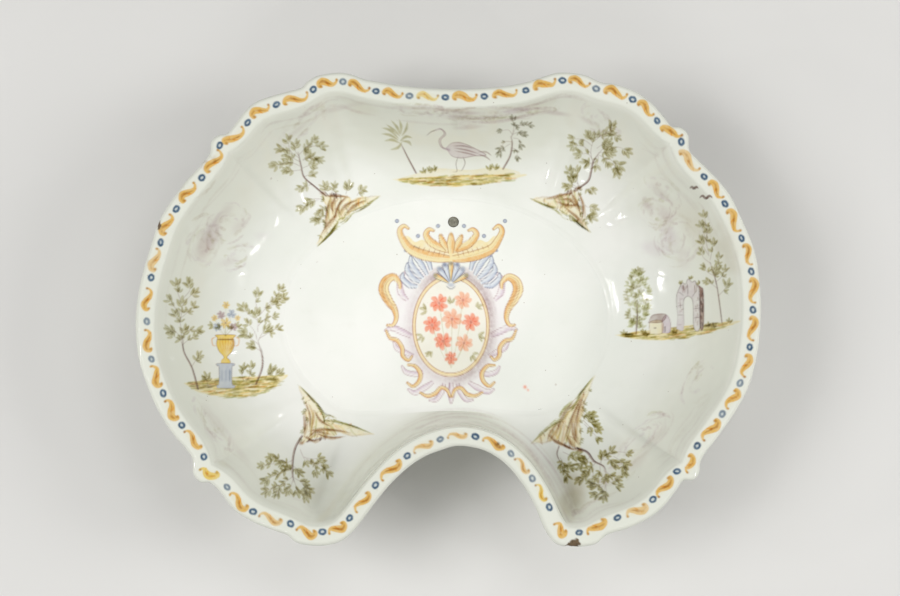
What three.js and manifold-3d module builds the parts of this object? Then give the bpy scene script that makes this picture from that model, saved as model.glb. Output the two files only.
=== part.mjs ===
// Oval barber's basin in tin-glazed earthenware, in millimetres, +Z up, +Y to the back.
// A press-moulded lobed bowl with a flat flange stands on a separate oval foot ring. The neck notch
// is in the front of the rim, at -Y. A thin coat of glaze lies on the biscuit inside, outside and
// under the floor, and leaves the foot's resting edge bare. One old hole in the floor is filled.
import * as THREE from 'three';
import { mergeVertices } from 'three/addons/utils/BufferGeometryUtils.js';
import Module from 'manifold-3d';

// Bowl
const RIM_WIDTH = 388;
const RIM_DEPTH = 296;
const RIM_HEIGHT = 87.4;
const FLANGE_WIDTH = 11.5;
const FLANGE_THICKNESS = 4.4;
const FLANGE_DROP = 1.5;
const FLANGE_BEND = 2.5;
const WALL_THICKNESS = 4.8;
const WALL_FOOT_SLOPE = 0.4;
const WALL_CURL = 3.5;
const RIDGE_HEIGHT = 3;
const RIDGE_SPREAD = 9;

// Floor, an oval whose front is cut short by the notch
const FLOOR_WIDTH = 220;
const FLOOR_DEPTH = 164;
const FLOOR_CENTRE_X = -2;
const FLOOR_CENTRE_Y = 0.5;
const FLOOR_FRONT_Y = -61.5;
const FLOOR_FRONT_SAG = 8;
const FLOOR_FRONT_REACH = 63;
const FLOOR_THICKNESS = 5.4;
const FLOOR_STEP_HEIGHT = 1.5;
const FLOOR_STEP_WIDTH = 3.5;

// Foot ring, set in from the floor's edge
const FOOT_HEIGHT = 7;
const FOOT_RING_WIDTH = 8;
const FOOT_RING_TAPER = 1;
const FOOT_SIDE_INSET = 7;
const FOOT_FRONT_INSET = 4;
const FOOT_BACK_INSET = 4;
const FOOT_BARE_EDGE = 1.2;

// Glaze coat
const GLAZE_THICKNESS = 0.6;

// Filled hole, set in from the back of the floor
const HOLE_DIAMETER = 7.2;
const HOLE_X = 3.2;
const HOLE_BACK_INSET = 18.8;
const PLUG_CLEARANCE = 0.3;
const PLUG_EDGE_ROUND = 0.8;

// The rim from above, as traced on the mould, counter-clockwise from the notch's deepest point.
// Each run ends at the next run's first point. `bearing` is the direction, in degrees round the
// floor, in which the spoke from the run's first point meets the floor's edge, and `ridge` says
// that a ridge of the wall starts there.
const RIM_RUNS = [
  // neck notch, right flank
  { bearing: -88, points: [[5, -84], [22, -87], [35, -95], [46, -108], [54, -122], [60, -136]] },
  // right horn
  { bearing: -61, points: [[66, -144], [73, -146], [82, -146], [91, -144]] },
  // right front lobe
  { bearing: -55, ridge: true, points: [[97, -139], [110, -135], [123, -129], [133, -121], [140, -112]] },
  // right front lug and side lobe
  {
    bearing: -39,
    ridge: true,
    points: [
      [145, -105.5], [151, -105], [154, -102], [156, -93], [167, -78], [177, -64], [186, -48],
      [191, -30], [194, -7], [194, 15], [191, 37], [184, 55], [175, 74], [164, 87], [156, 95],
    ],
  },
  // right back lug and back lobe
  {
    bearing: 39,
    ridge: true,
    points: [
      [151, 101], [150, 111], [146, 115], [140, 116], [135, 122], [127, 131], [117, 138], [105, 142.5],
      [97, 143.5],
    ],
  },
  // right back cusp
  { bearing: 54, ridge: true, points: [[92, 145.5], [86, 148.5], [77, 150], [68, 150], [58, 147]] },
  // sagging back
  { bearing: 64, points: [[49, 144], [37, 141.5], [20, 140], [1, 139.5], [-18, 140.5], [-32, 142], [-44, 144]] },
  // left back cusp
  {
    bearing: 112,
    points: [[-54, 146], [-62, 149], [-68, 150], [-76, 149.5], [-83, 148]],
  },
  // left back lobe
  {
    bearing: 123,
    ridge: true,
    points: [[-89, 144.5], [-93, 140.5], [-101, 138], [-112, 135], [-122, 131], [-128, 126], [-134, 118]],
  },
  // left back lug and side lobe
  {
    bearing: 138,
    ridge: true,
    points: [
      [-140, 111], [-145, 110], [-149, 106.5], [-150, 99], [-156, 91], [-165, 81], [-173, 70],
      [-181, 57], [-186, 42], [-190, 28], [-193.5, 12], [-195, -8], [-193, -30], [-187, -48],
      [-180, -63], [-171, -77], [-163, -86],
    ],
  },
  // left front lug and front lobe
  {
    bearing: 218,
    ridge: true,
    points: [
      [-159, -92], [-158, -102], [-154, -106.5], [-148, -107], [-142, -112], [-132, -124], [-119, -132],
      [-107, -136.5],
    ],
  },
  // left horn
  { bearing: 235, ridge: true, points: [[-100, -139], [-95, -143], [-88, -145], [-75, -145], [-66, -142]] },
  // neck notch, left flank
  { bearing: 242, points: [[-59, -136], [-52, -127], [-42, -114], [-31, -102], [-18, -92], [-5, -86.5]] },
];

// How finely the guides and the meshes are divided
const GUIDE_SAMPLES = 1200;
const STATIONS = 96;
const STATION_CROWDING = 14;
const SHARPEST_CURVATURE = 0.2;
const EDGE_SOFTNESS = 6;
const BEARING_SOFTNESS = 8;
const SHELL_SOFTNESS = 10;
const LIP_STEPS = 4;
const FLANGE_LEVELS = [0.9];
const WALL_LEVELS = [0, 0.08, 0.24, 0.46, 0.72, 1];
const OUTER_WALL_LEVELS = [0.1, 0.3, 0.56, 0.85];
const HOLE_SIDES = 20;

const floorTop = FOOT_HEIGHT + FLOOR_THICKNESS;
const lipRadius = FLANGE_THICKNESS / 2;
const edgeHeight = RIM_HEIGHT - FLANGE_DROP;
const floorBackY = FLOOR_CENTRE_Y + FLOOR_DEPTH / 2;
const holeY = floorBackY - HOLE_BACK_INSET;

const wrap = (index, count) => ((index % count) + count) % count;
const mix = (a, b, share) => a + (b - a) * share;
const mixPoints = (a, b, share) => new THREE.Vector2(mix(a.x, b.x, share), mix(a.y, b.y, share));

// The smaller of two heights, rounded off where they cross
function softMin(a, b, rounding) {
  const overlap = Math.max(rounding - Math.abs(a - b), 0) / rounding;
  return Math.min(a, b) - (overlap * overlap * rounding) / 4;
}

// Values round a closed guide, averaged with their neighbours over a distance in millimetres
function softened(values, softness, spacing) {
  const reach = Math.ceil((3 * softness) / spacing);
  return values.map((_, i) => {
    let sum = 0;
    let total = 0;
    for (let k = -reach; k <= reach; k += 1) {
      const weight = Math.exp(-0.5 * ((k * spacing) / softness) ** 2);
      sum += weight * values[wrap(i + k, values.length)];
      total += weight;
    }
    return sum / total;
  });
}

function softenedCurve(points, softness, spacing) {
  const xs = softened(points.map((p) => p.x), softness, spacing);
  const ys = softened(points.map((p) => p.y), softness, spacing);
  return xs.map((x, i) => new THREE.Vector2(x, ys[i]));
}

// Unit normals that point into the bowl, for a counter-clockwise curve
function inwardNormals(points) {
  return points.map((_, i) => {
    const before = points[wrap(i - 1, points.length)];
    const after = points[wrap(i + 1, points.length)];
    return new THREE.Vector2(before.y - after.y, after.x - before.x).normalize();
  });
}

// The rim's guide: evenly spaced points, and how far round it each run starts
function rimGuide() {
  const keys = RIM_RUNS.flatMap((run) => run.points);
  const curve = new THREE.CatmullRomCurve3(keys.map(([x, y]) => new THREE.Vector3(x, y, 0)), true, 'centripetal');
  const stepsPerKey = 40;
  const lengths = curve.getLengths(keys.length * stepsPerKey);
  const whole = lengths[lengths.length - 1];
  let key = 0;
  const starts = RIM_RUNS.map((run) => {
    const start = lengths[key * stepsPerKey] / whole;
    key += run.points.length;
    return start;
  });
  curve.arcLengthDivisions = keys.length * stepsPerKey;
  curve.updateArcLengths();
  const traced = Array.from({ length: GUIDE_SAMPLES }, (_, i) => curve.getPointAt(i / GUIDE_SAMPLES));
  const box = new THREE.Box3().setFromPoints(traced);
  const size = box.getSize(new THREE.Vector3());
  const centre = box.getCenter(new THREE.Vector3());
  const points = traced.map(
    (p) => new THREE.Vector2(((p.x - centre.x) * RIM_WIDTH) / size.x, ((p.y - centre.y) * RIM_DEPTH) / size.y),
  );
  return { points, starts };
}

const rim = rimGuide();
const spacing = rim.points.reduce((sum, p, i) => sum + p.distanceTo(rim.points[wrap(i + 1, GUIDE_SAMPLES)]), 0)
  / GUIDE_SAMPLES;

// Bearing, in degrees, at which each spoke meets the floor's edge
function spokeBearings() {
  const marks = RIM_RUNS.map((run, k) => ({ at: rim.starts[k], bearing: run.bearing }));
  marks.push({ at: 1, bearing: RIM_RUNS[0].bearing + 360 });
  const drift = rim.points.map((_, i) => {
    const at = i / GUIDE_SAMPLES;
    const next = marks.findIndex((mark) => mark.at > at);
    const share = (at - marks[next - 1].at) / (marks[next].at - marks[next - 1].at);
    return mix(marks[next - 1].bearing, marks[next].bearing, share) - 360 * at;
  });
  return softened(drift, BEARING_SOFTNESS, spacing).map((value, i) => value + (360 * i) / GUIDE_SAMPLES);
}

function ellipsePoint(centreX, centreY, halfWidth, halfDepth, bearing) {
  const angle = THREE.MathUtils.degToRad(bearing);
  return new THREE.Vector2(centreX + halfWidth * Math.cos(angle), centreY + halfDepth * Math.sin(angle));
}

// The floor's edge: an oval, cut short in front where the notch's wall comes down
function floorEdgePoint(bearing) {
  const p = ellipsePoint(FLOOR_CENTRE_X, FLOOR_CENTRE_Y, FLOOR_WIDTH / 2, FLOOR_DEPTH / 2, bearing);
  const sideways = (p.x - FLOOR_CENTRE_X) / FLOOR_FRONT_REACH;
  const front = FLOOR_FRONT_Y - FLOOR_FRONT_SAG * sideways * sideways;
  p.y = -softMin(-p.y, -front, 2 * FLOOR_FRONT_SAG);
  return p;
}

// Plan guides for the inside: the flange's inner edge, the wall's foot, and the wall's ridges
const bearings = spokeBearings();
const rimNormals = inwardNormals(softenedCurve(rim.points, EDGE_SOFTNESS, spacing));
const flangeEdge = softenedCurve(rim.points, EDGE_SOFTNESS, spacing)
  .map((p, i) => p.addScaledVector(rimNormals[i], FLANGE_WIDTH));
const wallFoot = bearings.map(floorEdgePoint);
const edgeNormals = inwardNormals(softenedCurve(flangeEdge, EDGE_SOFTNESS, spacing));
const ridgeShare = rim.points.map((_, i) => {
  const whole = spacing * GUIDE_SAMPLES;
  let share = 0;
  RIM_RUNS.forEach((run, k) => {
    const away = Math.abs(i / GUIDE_SAMPLES - rim.starts[k]);
    const distance = Math.min(away, 1 - away) * whole;
    if (run.ridge) share += Math.exp(-((distance / RIDGE_SPREAD) ** 2));
  });
  return share;
});

// Guides for the outside, which follows the lobes more softly
const softEdge = softenedCurve(flangeEdge, SHELL_SOFTNESS, spacing);
const softFoot = softenedCurve(wallFoot, SHELL_SOFTNESS, spacing);

// Height of the inside at a distance in from the flange's edge, on a spoke of the given run
function insideHeight(distance, run) {
  const flange = edgeHeight - (FLANGE_DROP * distance) / FLANGE_WIDTH;
  const up = 1 - distance / run;
  const share = WALL_FOOT_SLOPE * up + (1 - WALL_FOOT_SLOPE) * Math.max(up, 0) ** WALL_CURL;
  const wallBottom = floorTop + FLOOR_STEP_HEIGHT;
  return softMin(flange, mix(wallBottom, edgeHeight, share), FLANGE_BEND);
}

function wallPoint(edge, foot, ridge, i, level) {
  const plan = mixPoints(edge[i], foot[i], level);
  plan.addScaledVector(edgeNormals[i], ridge * Math.sin(Math.PI * level));
  const run = edge[i].distanceTo(foot[i]);
  return new THREE.Vector3(plan.x, plan.y, insideHeight(level * run, run));
}

// Stations: guide samples at which every ring has a point, crowded where the rim bends sharply
function chooseStations() {
  const crowding = rim.points.map((p, i) => {
    const before = rim.points[wrap(i - 2, GUIDE_SAMPLES)];
    const after = rim.points[wrap(i + 2, GUIDE_SAMPLES)];
    const turn = new THREE.Vector2().subVectors(after, p).angle() - new THREE.Vector2().subVectors(p, before).angle();
    const bend = Math.abs(Math.atan2(Math.sin(turn), Math.cos(turn))) / (2 * spacing);
    return 1 + STATION_CROWDING * Math.min(bend, SHARPEST_CURVATURE);
  });
  const total = crowding.reduce((sum, value) => sum + value, 0);
  const chosen = [];
  let passed = 0;
  crowding.forEach((value, i) => {
    if (passed >= (chosen.length * total) / STATIONS && chosen.length < STATIONS) chosen.push(i);
    passed += value;
  });
  return chosen;
}

const stations = chooseStations();
const ring = (pointAt) => stations.map(pointAt);

// Rings of the biscuit, from the middle of the inside, over the lip, to the middle of the underside
const flatRing = (curve, height) => ring((i) => new THREE.Vector3(curve[i].x, curve[i].y, height));

function floorRing() {
  const normals = inwardNormals(wallFoot);
  return ring((i) => {
    const p = wallFoot[i].clone().addScaledVector(normals[i], FLOOR_STEP_WIDTH);
    return new THREE.Vector3(p.x, p.y, floorTop);
  });
}

const wallRing = (level) => ring((i) => wallPoint(flangeEdge, wallFoot, ridgeShare[i] * RIDGE_HEIGHT, i, level));

function flangeRing(share) {
  return ring((i) => {
    const lipTop = rim.points[i].clone().addScaledVector(rimNormals[i], lipRadius);
    const p = mixPoints(lipTop, flangeEdge[i], share);
    return new THREE.Vector3(p.x, p.y, mix(RIM_HEIGHT, edgeHeight, share));
  });
}

function lipRing(step) {
  const angle = (Math.PI * step) / LIP_STEPS;
  const inset = lipRadius * (1 - Math.sin(angle));
  const height = RIM_HEIGHT - lipRadius + lipRadius * Math.cos(angle);
  return ring((i) => {
    const p = rim.points[i].clone().addScaledVector(rimNormals[i], inset);
    return new THREE.Vector3(p.x, p.y, height);
  });
}

// Where the outside of the wall meets the underside of the flange
const rootRing = () => ring((i) => {
  const p = softEdge[i].clone().addScaledVector(edgeNormals[i], -WALL_THICKNESS);
  return new THREE.Vector3(p.x, p.y, edgeHeight - FLANGE_THICKNESS);
});

// The outside of the wall: the softened inside, moved out by the wall's thickness
function outerWallRing(level) {
  const nudge = 0.02;
  return ring((i) => {
    const at = (index, height) => wallPoint(softEdge, softFoot, 0, wrap(index, GUIDE_SAMPLES), height);
    const along = at(i + 3, level).sub(at(i - 3, level));
    const down = at(i, level + nudge).sub(at(i, level - nudge));
    const outward = new THREE.Vector3().crossVectors(down, along).normalize();
    return at(i, level).addScaledVector(outward, WALL_THICKNESS);
  });
}

const footCentreY = (floorBackY - FOOT_BACK_INSET + FLOOR_FRONT_Y + FOOT_FRONT_INSET) / 2;
const footHalfDepth = floorBackY - FOOT_BACK_INSET - footCentreY;
const footHalfWidth = FLOOR_WIDTH / 2 - FOOT_SIDE_INSET;

function footRingAt(inset, height) {
  return ring((i) => {
    const p = ellipsePoint(
      FLOOR_CENTRE_X, footCentreY, footHalfWidth - inset, footHalfDepth - inset, bearings[i],
    );
    return new THREE.Vector3(p.x, p.y, height);
  });
}

const insideRings = [
  floorRing(),
  ...WALL_LEVELS.toReversed().map(wallRing),
  ...FLANGE_LEVELS.toReversed().map(flangeRing),
  ...Array.from({ length: LIP_STEPS / 2 + 1 }, (_, step) => lipRing(step)),
];
const lipSide = insideRings.at(-1);

const footBareTaper = FOOT_RING_TAPER * (1 - FOOT_BARE_EDGE / FOOT_HEIGHT);
const foot = {
  jointOuter: footRingAt(0, FOOT_HEIGHT),
  glazeLineOuter: footRingAt(footBareTaper, FOOT_BARE_EDGE),
  bottomOuter: footRingAt(FOOT_RING_TAPER, 0),
  bottomInner: footRingAt(FOOT_RING_WIDTH - FOOT_RING_TAPER, 0),
  glazeLineInner: footRingAt(FOOT_RING_WIDTH - footBareTaper, FOOT_BARE_EDGE),
  jointInner: footRingAt(FOOT_RING_WIDTH, FOOT_HEIGHT),
};

const outsideRings = [
  ...Array.from({ length: LIP_STEPS / 2 }, (_, step) => lipRing(LIP_STEPS / 2 + 1 + step)),
  rootRing(),
  ...OUTER_WALL_LEVELS.map(outerWallRing),
  flatRing(wallFoot, FOOT_HEIGHT),
  foot.jointOuter,
];

const middle = (height) => new THREE.Vector3(FLOOR_CENTRE_X, FLOOR_CENTRE_Y, height);
const middleRing = (height) => ring(() => middle(height));

// Rings moved out by a distance, along the surface that they span
function raisedRings(rings, distance) {
  return rings.map((points, k) => points.map((p, j) => {
    const next = rings[Math.min(k + 1, rings.length - 1)];
    const last = rings[Math.max(k - 1, 0)];
    const faces = [[last, points], [points, next]].filter(([a, b]) => a !== b);
    const normal = new THREE.Vector3();
    const along = points[wrap(j + 1, STATIONS)].clone().sub(points[wrap(j - 1, STATIONS)]);
    faces.forEach(([a, b]) => {
      const across = b[j].clone().sub(a[j]);
      normal.add(across.cross(along).normalize());
    });
    return p.clone().addScaledVector(normal.normalize(), distance);
  }));
}

// A closed surface through rings in order. It ends in a point at each cap, or joins up on itself.
// Each face is split across its shorter diagonal, so that two surfaces through the same rings match.
function loft(rings, caps) {
  const positions = rings.flat().flatMap((p) => [p.x, p.y, p.z]);
  const indices = [];
  const strips = caps ? rings.length - 1 : rings.length;
  const corner = (k, j) => wrap(k, rings.length) * STATIONS + wrap(j, STATIONS);
  const pointAt = (k, j) => rings[wrap(k, rings.length)][wrap(j, STATIONS)];
  for (let k = 0; k < strips; k += 1) {
    for (let j = 0; j < STATIONS; j += 1) {
      const [a, b, c, d] = [corner(k, j), corner(k + 1, j), corner(k + 1, j + 1), corner(k, j + 1)];
      const rising = pointAt(k, j).distanceTo(pointAt(k + 1, j + 1));
      const falling = pointAt(k + 1, j).distanceTo(pointAt(k, j + 1));
      if (rising < falling) indices.push(a, b, c, a, c, d);
      else indices.push(a, b, d, b, c, d);
    }
  }
  if (caps) {
    const first = rings.length * STATIONS;
    caps.forEach((p) => positions.push(p.x, p.y, p.z));
    for (let j = 0; j < STATIONS; j += 1) {
      indices.push(first, corner(0, j), corner(0, j + 1));
      indices.push(first + 1, corner(rings.length - 1, j + 1), corner(rings.length - 1, j));
    }
  }
  const geometry = new THREE.BufferGeometry();
  geometry.setAttribute('position', new THREE.Float32BufferAttribute(positions, 3));
  geometry.setIndex(indices);
  return geometry;
}

// Boolean cuts
const wasm = await Module();
wasm.setup();

function solidOf(geometry) {
  const bare = geometry.clone();
  bare.deleteAttribute('normal');
  bare.deleteAttribute('uv');
  const merged = mergeVertices(bare, 1e-4);
  return new wasm.Manifold(new wasm.Mesh({
    numProp: 3,
    vertProperties: new Float32Array(merged.attributes.position.array),
    triVerts: new Uint32Array(merged.index.array),
  }));
}

function cut(geometry, tool) {
  const mesh = solidOf(geometry).subtract(solidOf(tool)).getMesh();
  const result = new THREE.BufferGeometry();
  result.setAttribute('position', new THREE.BufferAttribute(mesh.vertProperties, 3));
  result.setIndex(new THREE.BufferAttribute(mesh.triVerts, 1));
  return result;
}

// The filled hole's drill, long enough to pass the floor and both coats of glaze
function holeDrill() {
  const drill = new THREE.CylinderGeometry(HOLE_DIAMETER / 2, HOLE_DIAMETER / 2, 4 * FLOOR_THICKNESS, HOLE_SIDES);
  drill.rotateX(Math.PI / 2);
  drill.translate(HOLE_X, holeY, FOOT_HEIGHT + FLOOR_THICKNESS / 2);
  return drill;
}

function clayBody() {
  const rings = [...insideRings, ...outsideRings, foot.jointInner];
  return cut(loft(rings, [middle(floorTop), middle(FOOT_HEIGHT)]), holeDrill());
}

function footRing() {
  return loft([
    foot.jointOuter, foot.glazeLineOuter, foot.bottomOuter, foot.bottomInner, foot.glazeLineInner, foot.jointInner,
  ]);
}

function glazeInside(coat) {
  const rings = [...coat, ...insideRings.toReversed()];
  return cut(loft(rings, [middle(floorTop + GLAZE_THICKNESS), middle(floorTop)]), holeDrill());
}

function glazeOutside(coat, biscuit) {
  return loft([...coat, ...biscuit.toReversed()]);
}

function glazeUnderFloor() {
  const biscuit = [foot.glazeLineInner, foot.jointInner];
  const coat = raisedRings([...biscuit, middleRing(FOOT_HEIGHT)], GLAZE_THICKNESS).slice(0, -1);
  const rings = [...biscuit.toReversed(), ...coat];
  return cut(loft(rings, [middle(FOOT_HEIGHT), middle(FOOT_HEIGHT - GLAZE_THICKNESS)]), holeDrill());
}

// The fill, a little below the glaze on both faces, with its edges rounded off by a chamfer
function holePlug() {
  const radius = HOLE_DIAMETER / 2 - PLUG_CLEARANCE;
  const low = FOOT_HEIGHT - GLAZE_THICKNESS / 2;
  const high = floorTop + GLAZE_THICKNESS / 2;
  const profile = [
    [0, low], [radius - PLUG_EDGE_ROUND, low], [radius, low + PLUG_EDGE_ROUND],
    [radius, high - PLUG_EDGE_ROUND], [radius - PLUG_EDGE_ROUND, high], [0, high],
  ].map(([r, z]) => new THREE.Vector2(r, z));
  const plug = new THREE.LatheGeometry(profile, HOLE_SIDES);
  plug.rotateX(Math.PI / 2);
  plug.translate(HOLE_X, holeY, 0);
  return plug;
}

function piece(name, geometry, colour, roughness) {
  const material = new THREE.MeshStandardMaterial({ color: colour, roughness, metalness: 0 });
  const mesh = new THREE.Mesh(geometry, material);
  mesh.name = name;
  return mesh;
}

const insideCoat = raisedRings([middleRing(floorTop), ...insideRings], GLAZE_THICKNESS).slice(1);
const outsideBiscuit = [lipSide, ...outsideRings, foot.glazeLineOuter];
const outsideCoat = raisedRings(outsideBiscuit, GLAZE_THICKNESS);
// Both coats share their edge along the lip
outsideCoat[0] = insideCoat.at(-1);

const basin = new THREE.Group();
basin.add(
  piece('clay_body', clayBody(), '#b98a63', 0.9),
  piece('foot_ring', footRing(), '#b98a63', 0.9),
  piece('glaze_inside', glazeInside(insideCoat), '#e8ebe2', 0.15),
  piece('glaze_outside', glazeOutside(outsideCoat, outsideBiscuit), '#e6e9df', 0.18),
  piece('glaze_under_floor', glazeUnderFloor(), '#e3e6dc', 0.2),
  piece('hole_plug', holePlug(), '#84847a', 0.8),
);

export default basin;
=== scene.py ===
"""Oval barber's basin in tin-glazed earthenware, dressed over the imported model.

Shapes are worked out in millimetres, +Z up, +Y to the back, and made in metres. The painting is
drawn on a flat sheet that the camera looks through: 900 by 596 units, one unit is 0.622 mm at the
height of the rim, x to the right and y down. Every colour on it comes from strokes written here.
"""

import math

import bpy
import numpy as np
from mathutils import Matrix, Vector


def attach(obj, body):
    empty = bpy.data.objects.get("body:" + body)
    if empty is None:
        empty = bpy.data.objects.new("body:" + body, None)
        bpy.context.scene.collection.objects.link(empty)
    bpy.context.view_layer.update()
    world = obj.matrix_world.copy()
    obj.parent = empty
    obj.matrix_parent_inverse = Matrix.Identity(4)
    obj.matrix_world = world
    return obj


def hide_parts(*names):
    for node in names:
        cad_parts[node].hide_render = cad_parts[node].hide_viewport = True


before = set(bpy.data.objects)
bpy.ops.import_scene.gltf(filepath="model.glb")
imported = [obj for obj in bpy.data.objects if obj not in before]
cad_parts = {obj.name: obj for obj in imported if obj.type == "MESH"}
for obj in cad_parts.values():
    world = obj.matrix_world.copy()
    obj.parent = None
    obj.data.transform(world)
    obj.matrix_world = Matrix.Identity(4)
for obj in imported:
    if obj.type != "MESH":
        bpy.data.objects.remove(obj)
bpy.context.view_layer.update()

# Sizes shared with the solids
RIM_WIDTH = 388.0
RIM_DEPTH = 296.0
RIM_HEIGHT = 87.4
FLANGE_WIDTH = 11.5
FLANGE_THICKNESS = 4.4
FLANGE_DROP = 1.5
WALL_THICKNESS = 4.8
WALL_FOOT_SLOPE = 0.4
WALL_CURL = 3.5
RIDGE_HEIGHT = 3.0
RIDGE_SPREAD = 9.0
FLOOR_WIDTH = 220.0
FLOOR_DEPTH = 164.0
FLOOR_CENTRE = (-2.0, 0.5)
FLOOR_FRONT_Y = -61.5
FLOOR_FRONT_SAG = 8.0
FLOOR_FRONT_REACH = 63.0
FLOOR_THICKNESS = 5.4
FLOOR_STEP_HEIGHT = 1.5
FLOOR_STEP_WIDTH = 3.5
FOOT_HEIGHT = 7.0
FOOT_RING_WIDTH = 8.0
FOOT_RING_TAPER = 1.0
FOOT_SIDE_INSET = 7.0
FOOT_FRONT_INSET = 4.0
FOOT_BACK_INSET = 4.0
FOOT_BARE_EDGE = 1.2
GLAZE = 0.6
HOLE_DIAMETER = 7.2
HOLE_X = 3.2
HOLE_BACK_INSET = 18.8
PLUG_CLEARANCE = 0.3
EDGE_SOFTNESS = 6.0
BEARING_SOFTNESS = 8.0
SHELL_SOFTNESS = 10.0

# The rim from above, counter-clockwise from the notch's deepest point: the bearing on which each
# run starts, whether a ridge of the wall starts there, and the run's points
RIM_RUNS = [
    (-88, False, [(5, -84), (22, -87), (35, -95), (46, -108), (54, -122), (60, -136)]),
    (-61, False, [(66, -144), (73, -146), (82, -146), (91, -144)]),
    (-55, True, [(97, -139), (110, -135), (123, -129), (133, -121), (140, -112)]),
    (-39, True, [(145, -105.5), (151, -105), (154, -102), (156, -93), (167, -78), (177, -64), (186, -48),
                 (191, -30), (194, -7), (194, 15), (191, 37), (184, 55), (175, 74), (164, 87), (156, 95)]),
    (39, True, [(151, 101), (150, 111), (146, 115), (140, 116), (135, 122), (127, 131), (117, 138),
                (105, 142.5), (97, 143.5)]),
    (54, True, [(92, 145.5), (86, 148.5), (77, 150), (68, 150), (58, 147)]),
    (64, False, [(49, 144), (37, 141.5), (20, 140), (1, 139.5), (-18, 140.5), (-32, 142), (-44, 144)]),
    (112, False, [(-54, 146), (-62, 149), (-68, 150), (-76, 149.5), (-83, 148)]),
    (123, True, [(-89, 144.5), (-93, 140.5), (-101, 138), (-112, 135), (-122, 131), (-128, 126),
                 (-134, 118)]),
    (138, True, [(-140, 111), (-145, 110), (-149, 106.5), (-150, 99), (-156, 91), (-165, 81), (-173, 70),
                 (-181, 57), (-186, 42), (-190, 28), (-193.5, 12), (-195, -8), (-193, -30), (-187, -48),
                 (-180, -63), (-171, -77), (-163, -86)]),
    (218, True, [(-159, -92), (-158, -102), (-154, -106.5), (-148, -107), (-142, -112), (-132, -124),
                 (-119, -132), (-107, -136.5)]),
    (235, True, [(-100, -139), (-95, -143), (-88, -145), (-75, -145), (-66, -142)]),
    (242, False, [(-59, -136), (-52, -127), (-42, -114), (-31, -102), (-18, -92), (-5, -86.5)]),
]

# The flange's inner bend and the wall's ridges are softer under the glaze than in the solids
GLAZED_BEND = 5.5
WALL_MELT = 0.55

# How finely the guides and the skins are divided: points on the finest ring and on the coarser
# ones, and the steps from ring to ring where nobody looks closely
STATIONS = 2160
HALF_RING = STATIONS // 2
QUARTER_RING = STATIONS // 4
BACK_STEP = 6
CLAY_STEP = 3
WALL_RINGS = 144
FLANGE_RINGS = 24
LIP_RINGS = 11
OUTER_WALL_RINGS = 60
FOOT_RINGS = 8

# How deep the clay and the backs of the coats lie under the biscuit's true surface
BACK_DEPTH = 0.15

floor_top = FOOT_HEIGHT + FLOOR_THICKNESS
lip_radius = FLANGE_THICKNESS / 2
edge_height = RIM_HEIGHT - FLANGE_DROP
floor_back = FLOOR_CENTRE[1] + FLOOR_DEPTH / 2
hole_y = floor_back - HOLE_BACK_INSET
dice = np.random.default_rng(1750)


# Small helpers
def mix(a, b, share):
    return a + (b - a) * share


def smooth(x):
    x = np.clip(x, 0, 1)
    return x * x * (3 - 2 * x)


def soft_min(a, b, rounding):
    overlap = np.maximum(rounding - np.abs(a - b), 0) / rounding
    return np.minimum(a, b) - overlap * overlap * rounding / 4


def unit(v):
    return v / np.maximum(np.linalg.norm(v, axis=-1, keepdims=True), 1e-12)


def softened(values, softness, spacing):
    """Values round a closed guide, averaged with their neighbours over a distance."""
    reach = math.ceil(3 * softness / spacing)
    k = np.arange(-reach, reach + 1)
    weight = np.exp(-0.5 * (k * spacing / softness) ** 2)
    weight /= weight.sum()
    values = np.asarray(values, float)
    flat = values.reshape(len(values), -1)
    padded = np.concatenate([flat[-reach:], flat, flat[:reach]])
    columns = [np.convolve(padded[:, c], weight, "valid") for c in range(flat.shape[1])]
    return np.stack(columns, -1).reshape(values.shape)


def inward_normals(points):
    along = np.roll(points, -1, 0) - np.roll(points, 1, 0)
    return unit(np.stack([-along[:, 1], along[:, 0]], -1))


# The rim's guide: a centripetal curve through the traced points, evenly spaced
def rim_guide():
    keys = np.array([p for run in RIM_RUNS for p in run[2]], float)
    count, steps = len(keys), 120
    t = np.linspace(0, 1, steps, endpoint=False)
    pieces = []
    for k in range(count):
        p0, p1, p2, p3 = (keys[(k + d) % count] for d in (-1, 0, 1, 2))
        d0, d1, d2 = (math.sqrt(math.dist(a, b)) for a, b in ((p0, p1), (p1, p2), (p2, p3)))
        m1 = ((p1 - p0) / d0 - (p2 - p0) / (d0 + d1) + (p2 - p1) / d1) * d1
        m2 = ((p2 - p1) / d1 - (p3 - p1) / (d1 + d2) + (p3 - p2) / d2) * d1
        c2 = -3 * p1 + 3 * p2 - 2 * m1 - m2
        c3 = 2 * p1 - 2 * p2 + m1 + m2
        pieces.append(p1 + m1 * t[:, None] + c2 * t[:, None] ** 2 + c3 * t[:, None] ** 3)
    dense = np.concatenate(pieces)
    closed = np.concatenate([dense, dense[:1]])
    length = np.concatenate([[0], np.cumsum(np.linalg.norm(np.diff(closed, axis=0), axis=1))])
    at = np.arange(STATIONS) / STATIONS * length[-1]
    points = np.stack([np.interp(at, length, closed[:, c]) for c in (0, 1)], -1)
    low, high = points.min(0), points.max(0)
    starts, key = [], 0
    for run in RIM_RUNS:
        starts.append(length[key * steps] / length[-1])
        key += len(run[2])
    return (points - (low + high) / 2) * (np.array([RIM_WIDTH, RIM_DEPTH]) / (high - low)), np.array(starts)


rim, run_starts = rim_guide()
spacing = np.linalg.norm(np.roll(rim, -1, 0) - rim, axis=1).mean()
rim_length = spacing * STATIONS
station_share = np.arange(STATIONS) / STATIONS


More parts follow.
